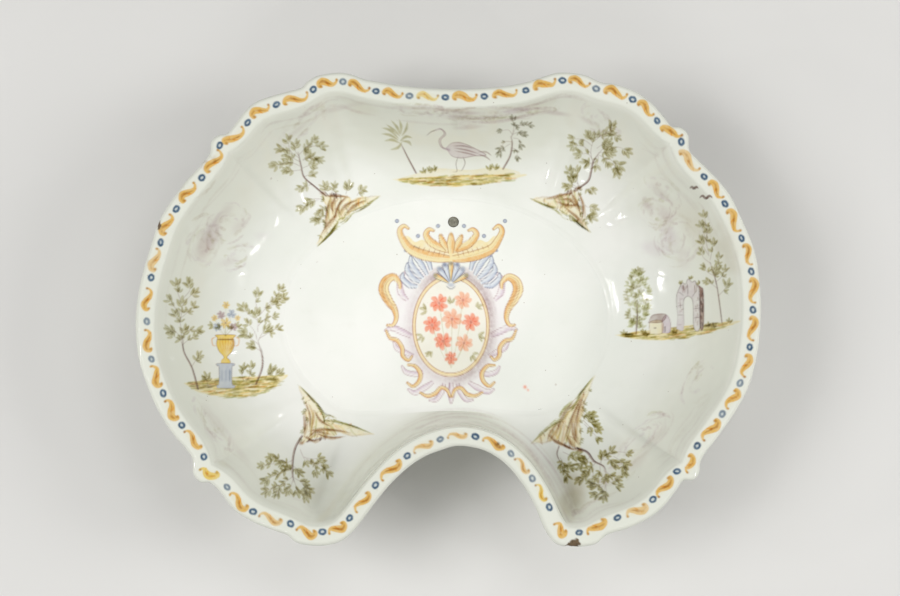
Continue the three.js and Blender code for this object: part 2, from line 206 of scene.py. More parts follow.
def spoke_bearings():
    marks = np.append(run_starts, 1.0)
    values = np.array([run[0] for run in RIM_RUNS] + [RIM_RUNS[0][0] + 360], float)
    drift = np.interp(station_share, marks, values) - 360 * station_share
    return softened(drift, BEARING_SOFTNESS, spacing) + 360 * station_share


def floor_edge(bearing):
    angle = np.radians(bearing)
    x = FLOOR_CENTRE[0] + FLOOR_WIDTH / 2 * np.cos(angle)
    y = FLOOR_CENTRE[1] + FLOOR_DEPTH / 2 * np.sin(angle)
    front = FLOOR_FRONT_Y - FLOOR_FRONT_SAG * ((x - FLOOR_CENTRE[0]) / FLOOR_FRONT_REACH) ** 2
    return np.stack([x, -soft_min(-y, -front, 2 * FLOOR_FRONT_SAG)], -1)


# Plan guides of the inside and, softer, of the outside
bearings = spoke_bearings()
soft_rim = softened(rim, EDGE_SOFTNESS, spacing)
rim_normals = inward_normals(soft_rim)
flange_edge = soft_rim + rim_normals * FLANGE_WIDTH
wall_foot = floor_edge(bearings)
edge_normals = inward_normals(softened(flange_edge, EDGE_SOFTNESS, spacing))
foot_normals = inward_normals(wall_foot)
ridge_share = np.zeros(STATIONS)
for start, run in zip(run_starts, RIM_RUNS):
    away = np.abs(station_share - start)
    away = np.minimum(away, 1 - away) * rim_length
    ridge_share += np.exp(-((away / RIDGE_SPREAD) ** 2)) * run[1]
soft_edge = softened(flange_edge, SHELL_SOFTNESS, spacing)
soft_foot = softened(wall_foot, SHELL_SOFTNESS, spacing)
lip_top = rim + rim_normals * lip_radius


def inside_height(distance, run):
    flange = edge_height - FLANGE_DROP * distance / FLANGE_WIDTH
    up = 1 - distance / run
    share = WALL_FOOT_SLOPE * up + (1 - WALL_FOOT_SLOPE) * np.maximum(up, 0) ** WALL_CURL
    return soft_min(flange, mix(floor_top + FLOOR_STEP_HEIGHT, edge_height, share), GLAZED_BEND)


def with_height(plan, height):
    return np.concatenate([plan, np.broadcast_to(height, (len(plan),))[:, None]], 1)


def wall_ring(level, edge=flange_edge, foot=wall_foot, ridge=ridge_share * RIDGE_HEIGHT):
    run = np.linalg.norm(edge - foot, axis=1)
    bow = (ridge * math.sin(math.pi * min(max(level, 0), 1)))[:, None]
    return with_height(mix(edge, foot, level) + edge_normals * bow, inside_height(level * run, run))


def soft_wall_ring(level):
    """The wall's corners melt away below the flange, as the glaze and the clay do."""
    ring = wall_ring(level)
    melted = wall_ring(level, soft_edge, soft_foot)
    return mix(ring, melted, WALL_MELT * float(smooth(level * 3.2)) * float(smooth((1 - level) * 6)))


def flange_ring(share):
    """Share 0 is at the top of the lip and 1 at the flange's inner edge."""
    plan = mix(lip_top, flange_edge, share)
    run = np.linalg.norm(flange_edge - wall_foot, axis=1)
    return with_height(plan, inside_height((share - 1) * FLANGE_WIDTH, run))


def lip_ring(share):
    angle = math.pi * share
    plan = rim + rim_normals * (lip_radius * (1 - math.sin(angle)))
    return with_height(plan, RIM_HEIGHT - lip_radius + lip_radius * math.cos(angle))


def step_ring(share):
    """The soft step at the floor's edge: share 0 at the wall's foot, 1 at the flat floor."""
    plan = wall_foot + foot_normals * (FLOOR_STEP_WIDTH * share)
    return with_height(plan, floor_top + FLOOR_STEP_HEIGHT * (1 - smooth(share)))


def outer_wall_ring(level):
    def at(value):
        return wall_ring(value, soft_edge, soft_foot, np.zeros(STATIONS))

    here = at(level)
    along = np.roll(here, -5, 0) - np.roll(here, 5, 0)
    down = at(level + 0.02) - at(level - 0.02)
    return here + unit(np.cross(down, along)) * WALL_THICKNESS


# Smooth random fields over points in space, made of waves in random directions
WAVES = 26


def wavy(points, length, seed):
    dice_here = np.random.default_rng(seed)
    directions = unit(dice_here.normal(size=(WAVES, 3)))
    pace = 2 * math.pi / (length * dice_here.uniform(0.7, 1.5, WAVES))
    phase = dice_here.uniform(0, 2 * math.pi, WAVES)
    total = np.zeros(points.shape[:-1])
    for direction, p, f in zip(directions, pace, phase):
        total += np.sin(points @ direction * p + f)
    return total / math.sqrt(WAVES / 2)


def spread(ring_at, start, end, count):
    """Rings between two shares, evenly spaced along the surface."""
    shares = np.linspace(start, end, 90)
    middles = np.array([ring_at(s)[::24] for s in shares])
    steps = np.linalg.norm(np.diff(middles, axis=0), axis=2).mean(1)
    passed = np.concatenate([[0], np.cumsum(steps)])
    chosen = np.interp(np.linspace(0, passed[-1], count), passed, shares)
    return [ring_at(s) for s in chosen]


def bend(first, corner, last, count):
    """Rings of a rounded corner, without its first ring."""
    shares = np.arange(1, count + 1) / count
    return [first * (1 - t) ** 2 + corner * 2 * t * (1 - t) + last * t * t for t in shares]


# The biscuit as rings, from the floor's flat part, up the inside and over the lip to the foot
foot_back = floor_back - FOOT_BACK_INSET
foot_front = FLOOR_FRONT_Y + FOOT_FRONT_INSET
foot_centre = np.array([FLOOR_CENTRE[0], (foot_back + foot_front) / 2])
foot_half = np.array([FLOOR_WIDTH / 2 - FOOT_SIDE_INSET, (foot_back - foot_front) / 2])


def foot_ring_at(inset, height):
    angle = np.radians(bearings)
    plan = foot_centre + (foot_half - inset) * np.stack([np.cos(angle), np.sin(angle)], -1)
    return with_height(plan, height)


inside = [step_ring(s) for s in np.linspace(1, 0, 9)[:-1]]
inside += spread(soft_wall_ring, 1, 0, WALL_RINGS)[:-1]
inside += spread(flange_ring, 1, 0, FLANGE_RINGS)[:-1]
inside += [lip_ring(s) for s in np.linspace(0, 0.5, LIP_RINGS)]
lip_at = len(inside) - 1

lip_under = lip_ring(1.0)
root = with_height(soft_edge - edge_normals * WALL_THICKNESS, edge_height - FLANGE_THICKNESS)
foot_corner = with_height(wall_foot, FOOT_HEIGHT)
foot_joint = foot_ring_at(0, FOOT_HEIGHT)
foot_side = foot_ring_at(FOOT_RING_TAPER * 0.25, FOOT_HEIGHT * 0.75)
taper_at_line = FOOT_RING_TAPER * (1 - FOOT_BARE_EDGE / FOOT_HEIGHT)
foot_line = foot_ring_at(taper_at_line, FOOT_BARE_EDGE)

outside = [lip_ring(s) for s in np.linspace(0.5, 1, LIP_RINGS)[1:]]
outside += [mix(lip_under, root, s) for s in np.linspace(0, 0.5, 8)[1:]]
outside += bend(mix(lip_under, root, 0.5), root, outer_wall_ring(0.07), 12)
outside += spread(outer_wall_ring, 0.07, 0.9, OUTER_WALL_RINGS)[1:]
outside += bend(outer_wall_ring(0.9), foot_corner, mix(foot_corner, foot_joint, 0.5), 9)
outside += bend(mix(foot_corner, foot_joint, 0.5), foot_joint, foot_side, FOOT_RINGS)
outside += [mix(foot_side, foot_line, s) for s in np.linspace(0, 1, FOOT_RINGS)[1:]]

biscuit = np.stack(inside + outside)

def smoothed_normals(grid):
    across = np.gradient(grid, axis=0)
    along = np.roll(grid, -1, 1) - np.roll(grid, 1, 1)
    return unit(np.cross(across, along))


# The step at the floor's edge is only a soft swelling under the glaze
STEP_REACH = 40
STEP_BLUR = 14
profile = np.concatenate([np.full((STEP_BLUR, STATIONS), floor_top),
                          biscuit[: STEP_REACH + STEP_BLUR, :, 2]])
kernel = np.exp(-0.5 * (np.arange(-STEP_BLUR, STEP_BLUR + 1) / 5.0) ** 2)
kernel /= kernel.sum()
softer = np.stack([np.convolve(profile[:, j], kernel, "valid") for j in range(STATIONS)], 1)
fade = smooth((STEP_REACH - np.arange(STEP_REACH)) / STEP_BLUR)[:, None]
biscuit[:STEP_REACH, :, 2] = mix(biscuit[:STEP_REACH, :, 2], softer[:STEP_REACH], fade)
outward = smoothed_normals(biscuit)
outward = unit(outward + np.roll(outward, 1, 1) + np.roll(outward, -1, 1))


# Old damage: centre in millimetres, reach and depth
CHIPS = [
    ((77.2, -146.2, 86.8), (4.4, 3.1, 3.8), 1.0), ((74.0, -147.2, 86.0), (2.6, 2.2, 3.2), 0.8),
    ((-180.4, 50.4, 86.2), (1.8, 4.6, 2.4), 0.6),
]


def chip_depth(points):
    """How deep each point is chipped, and how bare it is there."""
    depth = np.zeros(points.shape[:-1])
    for centre, reach, deep in CHIPS:
        ragged = 1 + 0.14 * wavy(points, 3.0, int(abs(centre[0] * 7)) + 3)
        near = np.linalg.norm((points - centre) / reach, axis=-1) * ragged
        depth = np.maximum(depth, deep * smooth(1.35 * (1 - near)))
    return depth


def bake_map(mesh, corners, quad_corners, places):
    """The UV map named OFBake, from a place for each point. A face that crosses the seam of u is kept
    whole.
    """
    uv = places[corners]
    for some, size in ((uv[:quad_corners], 4), (uv[quad_corners:], 3)):
        u = some.reshape(-1, size, 2)[..., 0]
        u += (u.max(1, keepdims=True) - u > 0.5) & (u < 0.5)
    layer = mesh.uv_layers.get("OFBake") or mesh.uv_layers.new(name="OFBake")
    layer.data.foreach_set("uv", (uv * 0.98 + 0.01).astype(np.float32).ravel())


# Skins: closed surfaces through rings of points, whose counts stay, halve or double
def skin(name, rings):
    """A closed surface through a list of (points, normals), which joins up on itself."""
    counts = [len(p) for p, _ in rings]
    first = np.concatenate([[0], np.cumsum(counts)])
    quads, tris = [], []
    for k, a in enumerate(counts):
        n = (k + 1) % len(counts)
        b = counts[n]
        j = np.arange(min(a, b))
        j2 = (j + 1) % min(a, b)
        if a == b:
            quads.append(np.stack([first[k] + j, first[n] + j, first[n] + j2, first[k] + j2], -1))
            continue
        if max(a, b) != 2 * min(a, b):
            raise ValueError(f"ring counts {a} and {b} don't match in {name}")
        fine, coarse = (first[k], first[n]) if a > b else (first[n], first[k])
        f0, f1, f2 = fine + 2 * j, fine + 2 * j + 1, fine + (2 * j + 2) % max(a, b)
        fan = [(f0, coarse + j, f1), (f1, coarse + j, coarse + j2), (f1, coarse + j2, f2)]
        tris += [np.stack(t if a > b else t[::-1], -1) for t in fan]
    quads = np.concatenate(quads)
    tris = np.concatenate(tris) if tris else np.zeros((0, 3), int)
    points = np.concatenate([p for p, _ in rings])
    normals = np.concatenate([v for _, v in rings])
    mesh = bpy.data.meshes.new(name)
    mesh.vertices.add(len(points))
    mesh.loops.add(quads.size + tris.size)
    mesh.polygons.add(len(quads) + len(tris))
    mesh.vertices.foreach_set("co", (points * 0.001).astype(np.float32).ravel())
    corners = np.concatenate([quads.ravel(), tris.ravel()])
    mesh.loops.foreach_set("vertex_index", corners.astype(np.int32))
    starts = np.concatenate([np.arange(len(quads)) * 4, quads.size + np.arange(len(tris)) * 3])
    mesh.polygons.foreach_set("loop_start", starts.astype(np.int32))
    mesh.update(calc_edges=True)
    mesh.polygons.foreach_set("use_smooth", np.ones(len(mesh.polygons), bool))
    mesh.normals_split_custom_set_from_vertices(unit(normals).tolist())
    share = np.concatenate([np.arange(n) / n for n in counts])
    level = np.concatenate([np.full(n, (k + 0.5) / len(counts)) for k, n in enumerate(counts)])
    bake_map(mesh, corners, quads.size, np.stack([share, level], -1))
    thing = bpy.data.objects.new(name, mesh)
    bpy.context.scene.collection.objects.link(thing)
    return thing, points, corners


def thinned(points, normals, count):
    step = len(points) // count
    return points[::step], normals[::step]


def listed(grid, normals, count=STATIONS):
    return [thinned(p, v, count) for p, v in zip(grid, normals)]


def floor_rings(edge, radius, height, up, counts, rows=(14, 30, 42, 78)):
    """Rings from the old hole out to the floor's flat edge, ever more points to a ring."""
    centre = np.array([HOLE_X, hole_y])
    rings = []
    bands = [0.0, 0.1, 0.25, 0.5, 1.0]
    for start, end, count, steps in zip(bands[:-1], bands[1:], counts, rows):
        outer = edge[:: len(edge) // count, :2]
        inner = centre + unit(outer - centre) * radius
        for s in np.linspace(start, end, steps, endpoint=False):
            points = with_height(mix(inner, outer, s), height)
            rings.append((points, np.broadcast_to([0.0, 0.0, up], points.shape)))
    return rings


# The coat of glaze over the biscuit: a little uneven, and thin round the old hole
def coated(points, normals):
    swell = 0.07 * wavy(points, 38, 11) + 0.035 * wavy(points, 11, 12)
    to_hole = np.linalg.norm(points[..., :2] - [HOLE_X, hole_y], axis=-1)
    thickness = GLAZE * mix(0.3, 1.0, smooth((to_hole - HOLE_DIAMETER / 2) / 1.6))
    return points + normals * (thickness + swell - chip_depth(points))[..., None]


def sunk(points, normals):
    """Clay or the back of a coat, just under the biscuit's true surface."""
    return points - normals * (BACK_DEPTH + chip_depth(points))[..., None]


FINE_FLOOR = (STATIONS // 16, STATIONS // 8, QUARTER_RING, HALF_RING)
ROUGH_FLOOR = (STATIONS // 16, STATIONS // 16, STATIONS // 8, QUARTER_RING)
FLOOR_BACK_ROWS = (4, 6, 8, 12)
UNDER_BACK_ROWS = (4, 4, 6, 8)
hole_radius = HOLE_DIAMETER / 2

coat = coated(biscuit, outward)
coat_normals = smoothed_normals(coat)
under = sunk(biscuit, outward)


def beneath(first, last, step, count):
    """Rings just under the biscuit's surface, from one ring to another."""
    return listed(under[first:last:step], outward[first:last:step], count)


def under_floor(edge, counts, rows):
    """Rings over the floor's underside, from the hole out to an edge."""
    return floor_rings(edge, hole_radius, FOOT_HEIGHT, -1.0, counts, rows)


floor_back_rings = floor_rings(
    biscuit[0], hole_radius, floor_top - BACK_DEPTH, 1.0, ROUGH_FLOOR, FLOOR_BACK_ROWS
)
lip_back = beneath(lip_at, lip_at + 1, 1, HALF_RING)

# Painted glaze inside, as far as the side of the lip
front = [(coated(p, v), v) for p, v in floor_rings(biscuit[0], hole_radius, floor_top, 1.0, FINE_FLOOR)]
front += listed(coat[: lip_at + 1], coat_normals[: lip_at + 1])
back = lip_back + beneath(lip_at, 0, -BACK_STEP, QUARTER_RING) + floor_back_rings[::-1]
inside_front = front
glaze_inside, inside_points, inside_corners = skin("painted_glaze_inside", front + back)

# Plain glaze outside, from the side of the lip to the foot's bare edge
near_foot = 18
front = listed(coat[lip_at:], coat_normals[lip_at:], HALF_RING)
tail = front[-1]
front[-1] = (mix(tail[0], under[-1][::2], 0.35), tail[1])
back = beneath(None, -1 - near_foot, -1, QUARTER_RING)
back += beneath(-1 - near_foot, lip_at - 1, -BACK_STEP, QUARTER_RING) + lip_back
glaze_outside, outside_points, _ = skin("plain_glaze_outside", front + back)

# The underside inside the foot: down the ring's inner side and over the floor's underside
inner_line = foot_ring_at(FOOT_RING_WIDTH - taper_at_line, FOOT_BARE_EDGE)
inner_joint = foot_ring_at(FOOT_RING_WIDTH, FOOT_HEIGHT)
inner_side = foot_ring_at(FOOT_RING_WIDTH - FOOT_RING_TAPER * 0.4, FOOT_HEIGHT * 0.6)
inner_floor = foot_ring_at(FOOT_RING_WIDTH + 4.0, FOOT_HEIGHT)
recess = [mix(inner_line, inner_side, s) for s in np.linspace(0, 1, FOOT_RINGS)]
recess += bend(inner_side, inner_joint, inner_floor, 9)
recess = np.stack(recess)
recess_normals = smoothed_normals(recess)
recess_coat = coated(recess, recess_normals)
recess_coat[0] = mix(recess_coat[0], recess[0], 0.6)
front = listed(recess_coat, smoothed_normals(recess_coat), HALF_RING)
front += [(coated(p, v), v) for p, v in under_floor(inner_floor, FINE_FLOOR, (6, 12, 18, 30))[::-1]]
back = [(p - v * BACK_DEPTH, v) for p, v in under_floor(inner_floor, ROUGH_FLOOR, UNDER_BACK_ROWS)]
back += listed(sunk(recess, recess_normals)[::-3], recess_normals[::-3], QUARTER_RING)
glaze_under = skin("plain_glaze_under_floor", front + back)[0]

# Biscuit of the body, finest at the lip, where chips bare it
above_lip, below_lip, above_foot = lip_at - 24, lip_at + 12, len(biscuit) - 2 * FOOT_RINGS
rings = floor_back_rings + beneath(None, above_lip, CLAY_STEP, HALF_RING)
rings += beneath(above_lip, below_lip, 1, HALF_RING) + beneath(below_lip, above_foot, CLAY_STEP, HALF_RING)
down = np.broadcast_to([0.0, 0.0, -1.0], (QUARTER_RING, 3))
rings += [(p[::4], down) for p in (foot_joint, inner_joint)]
underside = under_floor(inner_joint, ROUGH_FLOOR, UNDER_BACK_ROWS)
rings += [(p + [0, 0, BACK_DEPTH], v) for p, v in underside[::-1]]
clay_body = skin("biscuit_body", rings)[0]

# Foot ring, its bare edge rounded and worn
foot_outer = foot_ring_at(FOOT_RING_TAPER, 0)
foot_inner = foot_ring_at(FOOT_RING_WIDTH - FOOT_RING_TAPER, 0)
outer_high, inner_high = foot_ring_at(0, FOOT_HEIGHT), foot_ring_at(FOOT_RING_WIDTH, FOOT_HEIGHT)
outer_low = mix(foot_outer, outer_high, 0.2)
inner_low = mix(foot_inner, inner_high, 0.2)
sole_outer, sole_inner = mix(foot_outer, foot_inner, 0.17), mix(foot_inner, foot_outer, 0.17)
ring_shape = [mix(outer_high, outer_low, s) for s in np.linspace(0, 1, 7)]
ring_shape += bend(outer_low, foot_outer, sole_outer, 6)
ring_shape += [mix(sole_outer, sole_inner, s) for s in np.linspace(0, 1, 8)[1:]]
ring_shape += bend(sole_inner, foot_inner, inner_low, 6)
ring_shape += [mix(inner_low, inner_high, s) for s in np.linspace(0, 1, 7)[1:]]
ring_shape = np.stack(ring_shape)
ring_normals = smoothed_normals(ring_shape)
worn = np.clip(0.05 * wavy(ring_shape, 9, 21) + 0.04 * wavy(ring_shape, 3, 22) - 0.05, -0.25, 0)
worn = worn * (ring_shape[..., 2] > 0.02)
ring_shape = ring_shape + ring_normals * worn[..., None]
ring_shape[..., 2] = np.maximum(ring_shape[..., 2], 0)
foot_ring = skin("biscuit_foot_ring", listed(ring_shape, ring_normals, HALF_RING))[0]


# Filler in the old hole: a plug with a rough, slightly hollow top
PLUG_POINTS = 96


def plug():
    radius = hole_radius - PLUG_CLEARANCE
    low, high = FOOT_HEIGHT - GLAZE / 2, floor_top + GLAZE / 2
    angle = np.arange(PLUG_POINTS) * 2 * math.pi / PLUG_POINTS
    profile = [(0.04 * radius, low), (radius * 0.5, low), (radius - 0.6, low)]
    profile += [(radius - 0.15, low + 0.15), (radius, low + 0.6)]
    profile += [(radius, mix(low + 0.6, high - 0.5, s)) for s in (0.25, 0.5, 0.75, 1.0)]
    profile += [(radius - 0.12, high - 0.15), (radius - 0.5, high)]
    profile += [(radius * s, high) for s in (0.72, 0.6, 0.48, 0.36, 0.24, 0.12, 0.04)]
    rings = []
    for r, z in profile:
        p = np.stack([HOLE_X + r * np.cos(angle), hole_y + r * np.sin(angle), np.full(PLUG_POINTS, z)], -1)
        if z > high - 0.01:
            p[:, 2] += 0.05 * wavy(p, 1.6, 31) - 0.12 * smooth(1 - r / radius) - 0.06
        rings.append(p)
    grid = np.stack(rings[::-1])
    return skin("filler_plug", list(zip(grid, smoothed_normals(grid))))[0]


hole_plug = plug()


# The camera of the photograph, through which the painting's sheet also lies on the basin
CAMERA_ELEVATION = math.radians(84)
CAMERA_DISTANCE = 1350.0
CAMERA_AIM = np.array([0.93, 5.35, 88.0])
SHEET_UNIT = 0.622
SHEET_SIZE = (900, 596)
view_line = np.array([0, math.cos(CAMERA_ELEVATION), -math.sin(CAMERA_ELEVATION)])
view_up = np.array([0, math.sin(CAMERA_ELEVATION), math.cos(CAMERA_ELEVATION)])
camera_place = CAMERA_AIM - view_line * CAMERA_DISTANCE


def on_sheet(points):
    away = points - camera_place
    scale = CAMERA_DISTANCE / SHEET_UNIT / (away @ view_line)
    across, down = scale * away[..., 0], -scale * (away @ view_up)
    return np.stack([SHEET_SIZE[0] / 2 + across, SHEET_SIZE[1] / 2 + down], -1)


# The sheet of paint: how much of the light of each colour the paint lets through to the white glaze
SHEET = (126, 60, 776, 558)
SHEET_FINENESS = 3


def colour(red, green, blue):
    """A colour as linear light."""
    c = np.array([red, green, blue]) / 255
    return np.where(c <= 0.04045, c / 12.92, ((c + 0.055) / 1.055) ** 2.4)


def pigment(red, green, blue):
    """A pigment, from its colour where it lies thick on the white glaze."""
    return np.clip(colour(red, green, blue) / colour(238, 239, 234), 0.004, 1)


MANGANESE = pigment(146, 110, 100)
DARK_MANGANESE = pigment(104, 70, 58)
MAUVE = pigment(182, 152, 156)
LILAC = pigment(206, 188, 200)
OLIVE = pigment(180, 172, 108)
DARK_OLIVE = pigment(132, 126, 76)
SAGE = pigment(180, 174, 116)
GRASS = pigment(182, 182, 96)
STRAW = pigment(236, 220, 158)
OCHRE = pigment(226, 174, 112)
ORANGE = pigment(232, 186, 96)
AMBER = pigment(178, 120, 74)
UMBER = pigment(146, 94, 50)
YELLOW = pigment(236, 206, 104)
GOLD = pigment(246, 220, 164)
COBALT = pigment(58, 98, 134)
DARK_COBALT = pigment(40, 68, 100)
PALE_COBALT = pigment(166, 190, 212)
SLATE = pigment(178, 186, 202)
CORAL = pigment(238, 134, 92)
PALE_CORAL = pigment(246, 178, 144)
DARK_CORAL = pigment(204, 92, 58)
BUFF = pigment(196, 184, 160)
BRONZE = pigment(186, 152, 86)
EARTH = pigment(166, 122, 68)
PALE_LILAC = pigment(238, 233, 235)
PALE_SLATE = pigment(224, 229, 236)
DARK_SLATE = pigment(96, 102, 132)
CREAM = pigment(240, 234, 220)

sheet_rows = (SHEET[3] - SHEET[1]) * SHEET_FINENESS
sheet_columns = (SHEET[2] - SHEET[0]) * SHEET_FINENESS
paint = np.ones((sheet_rows, sheet_columns, 3), np.float32)


def sheet_noise(size, seed):
    """Smooth noise over the sheet from 0 to 1, with features of the given size in units."""
    rows, columns = int((SHEET[3] - SHEET[1]) / size) + 3, int((SHEET[2] - SHEET[0]) / size) + 3
    grid = np.random.default_rng(seed).random((rows, columns))
    y = np.arange(sheet_rows) / SHEET_FINENESS / size
    x = np.arange(sheet_columns) / SHEET_FINENESS / size
    yi, xi = y.astype(int), x.astype(int)
    fy, fx = smooth(y - yi)[:, None], smooth(x - xi)[None]
    top = mix(grid[yi][:, xi], grid[yi][:, xi + 1], fx)
    low = mix(grid[yi + 1][:, xi], grid[yi + 1][:, xi + 1], fx)
    return mix(top, low, fy).astype(np.float32)


bristle = 0.5 * sheet_noise(0.8, 61) + 0.5 * sheet_noise(2.2, 62)
blot = 0.6 * sheet_noise(6, 63) + 0.4 * sheet_noise(2.6, 64)
drift = 0.65 * sheet_noise(26, 65) + 0.35 * sheet_noise(11, 66)


def window(points, pad):
    low = (np.min(points, 0) - pad - SHEET[:2]) * SHEET_FINENESS
    high = (np.max(points, 0) + pad - SHEET[:2]) * SHEET_FINENESS
    x0, y0 = np.maximum(np.floor(low).astype(int), 0)
    x1 = min(int(high[0]) + 2, sheet_columns)
    y1 = min(int(high[1]) + 2, sheet_rows)
    ys, xs = np.mgrid[y0:max(y1, y0), x0:max(x1, x0)]
    place = (slice(y0, max(y1, y0)), slice(x0, max(x1, x0)))
    return place, xs / SHEET_FINENESS + SHEET[0], ys / SHEET_FINENESS + SHEET[1]


def lay(place, cover, tint):
    """Lays a pigment over what is there; None wipes the paint off to the white again."""
    cover = np.clip(cover, 0, 1)[..., None]
    if tint is None:
        paint[place] += (1 - paint[place]) * cover
    else:
        paint[place] *= 1 - cover * (1 - tint)


def through(points, pace=0.3):
    """A smooth line through points, and how far along the points each sample is."""
    p = np.asarray(points, float)
    if len(p) == 2:
        count = max(2, int(np.linalg.norm(p[1] - p[0]) / pace))
        t = np.linspace(0, 1, count)
        return mix(p[0], p[1], t[:, None]), t
    ends = np.concatenate([[2 * p[0] - p[1]], p, [2 * p[-1] - p[-2]]])
    line, along_line = [], []
    for k in range(len(p) - 1):
        a, b, c, d = ends[k : k + 4]
        count = max(2, int(np.linalg.norm(c - b) / pace))
        t = np.arange(count)[:, None] / count
        square, cube = 2 * a - 5 * b + 4 * c - d, 3 * b - a - 3 * c + d
        line.append(0.5 * (2 * b + (c - a) * t + square * t**2 + cube * t**3))
        along_line.append(k + t[:, 0])
    line.append(p[-1:])
    along_line.append([len(p) - 1])
    return np.concatenate(line), np.concatenate(along_line) / (len(p) - 1)


def stroke(points, width, tint, strength=0.85, taper=(0.35, 0.2), soft=0.5, streak=0.35, core=None):
    """One pull of the brush. Width is one number, or one for each point."""
    line, share = through(points)
    widths = np.full(len(line), float(width)) if np.size(width) == 1 else None
    if widths is None:
        widths = np.interp(share, np.linspace(0, 1, np.size(width)), width)
    length = np.linspace(0, 1, len(line))
    start, end = mix(taper[0], 1, smooth(length * 5)), mix(taper[1], 1, smooth((1 - length) * 5))
    widths = widths * np.minimum(start, end)
    pad = widths.max() / 2 + soft + 0.6
    place, xs, ys = window(line, pad)
    if xs.size == 0:
        return
    far = np.full(xs.shape, 9.0)
    x_first, y_first = xs[0, 0], ys[0, 0]
    for k in range(0, len(line), 16):
        some, some_widths = line[k : k + 17], widths[k : k + 17]
        low = np.floor((some.min(0) - pad - (x_first, y_first)) * SHEET_FINENESS).astype(int)
        high = np.ceil((some.max(0) + pad - (x_first, y_first)) * SHEET_FINENESS).astype(int) + 1
        part = (slice(max(low[1], 0), max(high[1], 0)), slice(max(low[0], 0), max(high[0], 0)))
        away = np.hypot(xs[part][..., None] - some[:, 0],
                        ys[part][..., None] - some[:, 1]) - some_widths / 2
        far[part] = np.minimum(far[part], away.min(-1))
    cover = smooth(0.5 - far / soft)
    cover = cover * strength * (1 - streak * (1 - bristle[place]) ** 1.5)
    lay(place, cover, tint)
    if core is not None:
        deep = smooth(0.5 - (far + widths.max() * 0.3) / soft) * 0.6 * strength
        lay(place, deep * smooth(blot[place] * 2.2 - 0.5), core)


def fill(points, tint, strength=0.6, soft=0.8, grain=0.5):
    """A flat wash with a soft, uneven edge, inside a closed line."""
    line, _ = through(list(points) + [points[0]], 1.2)
    place, xs, ys = window(line, soft + 1)
    if xs.size == 0:
        return
    inside_it = np.zeros(xs.shape, bool)
    far = np.full(xs.shape, 99.0)
    for (xa, ya), (xb, yb) in zip(line[:-1], line[1:]):
        if ya != yb:
            crosses = ((ya > ys) != (yb > ys)) & (xs < (xb - xa) * (ys - ya) / (yb - ya) + xa)
            inside_it ^= crosses
        dx, dy = xb - xa, yb - ya
        t = np.clip(((xs - xa) * dx + (ys - ya) * dy) / (dx * dx + dy * dy + 1e-9), 0, 1)
        far = np.minimum(far, np.hypot(xs - xa - t * dx, ys - ya - t * dy))
    signed = np.where(inside_it, far, -far)
    cover = smooth(0.5 + signed / soft) * strength * (1 - grain + grain * 1.6 * blot[place])
    lay(place, cover * (1 + 0.25 * np.exp(-((signed - 0.4) ** 2) / 0.3)), tint)


def blob(x, y, wide, high, tint, strength, tilt=0.0, ragged=0.6):
    """A soft cloud of colour."""
    c, s = math.cos(math.radians(tilt)), math.sin(math.radians(tilt))
    reach = max(wide, high) * 1.3
    place, xs, ys = window(np.array([[x - reach, y - reach], [x + reach, y + reach]]), 0)
    u = ((xs - x) * c + (ys - y) * s) / wide
    v = (-(xs - x) * s + (ys - y) * c) / high
    away = np.hypot(u, v) + ragged * (drift[place] - 0.5) + 0.25 * ragged * (blot[place] - 0.5)
    lay(place, smooth(1.15 - away) ** 1.5 * strength * (0.6 + 0.6 * blot[place]), tint)


def turned(x, y, angle, points):
    """Points placed at x, y, turned by an angle in degrees, with y down."""
    a = math.radians(angle)
    p = np.asarray(points, float)
    return np.stack([x + p[:, 0] * math.cos(a) - p[:, 1] * math.sin(a),
                     y + p[:, 0] * math.sin(a) + p[:, 1] * math.cos(a)], -1)


def pairs(numbers):
    """Points from a row of numbers: x, y, x, y and so on."""
    return np.reshape(numbers, (-1, 2)).astype(float)


def shaky(points, amount=0.3):
    p = np.asarray(points, float)
    return p + dice.normal(0, amount, p.shape)


def one_of(tints, odds):
    return tints[dice.choice(len(odds), p=odds)]


def loop(shape):
    """A closed line round a shape."""
    return shape + shape[:1]


def oval(middle, wide, high, count):
    """A closed oval line about a place."""
    turn = np.linspace(0, 2 * math.pi, count)
    return np.array(middle) + np.stack([np.cos(turn) * wide, np.sin(turn) * high], -1)


def beside_line(points, distance):
    """A line moved sideways by a distance, or by one for each point."""
    p = np.asarray(points, float)
    along = unit(np.gradient(p, axis=0))
    return p + np.stack([-along[:, 1], along[:, 0]], -1) * np.reshape(distance, (-1, 1))


def scrolled(points, widths, body, shade, edge):
    """A thick scroll with a shaded side and drawn edges, over whatever it hides."""
    line, share = through(points, 1.0)
    wide = np.interp(share, np.linspace(0, 1, len(widths)), widths)
    stroke(line, list(wide), None, 1.0, (1, 0.8), 0.5, 0.0)
    stroke(line, list(wide), body, 0.95, (1, 0.8), 0.6, 0.3)
    stroke(beside_line(line, wide * 0.26), list(wide * 0.42), shade, 0.75, (0.6, 0.5), 0.9, 0.6)
    for side in (-1, 1):
        stroke(beside_line(line, wide * 0.5 * side), 0.8, edge, 0.85, (1, 0.8), 0.5, 0.3)
    stroke(beside_line(line, -wide * 0.12), 0.5, edge, 0.4, (0.4, 0.2), 0.5)
    blob(line[-1][0], line[-1][1], wide[-1] * 0.7, wide[-1] * 0.7, edge, 0.7, ragged=0.2)


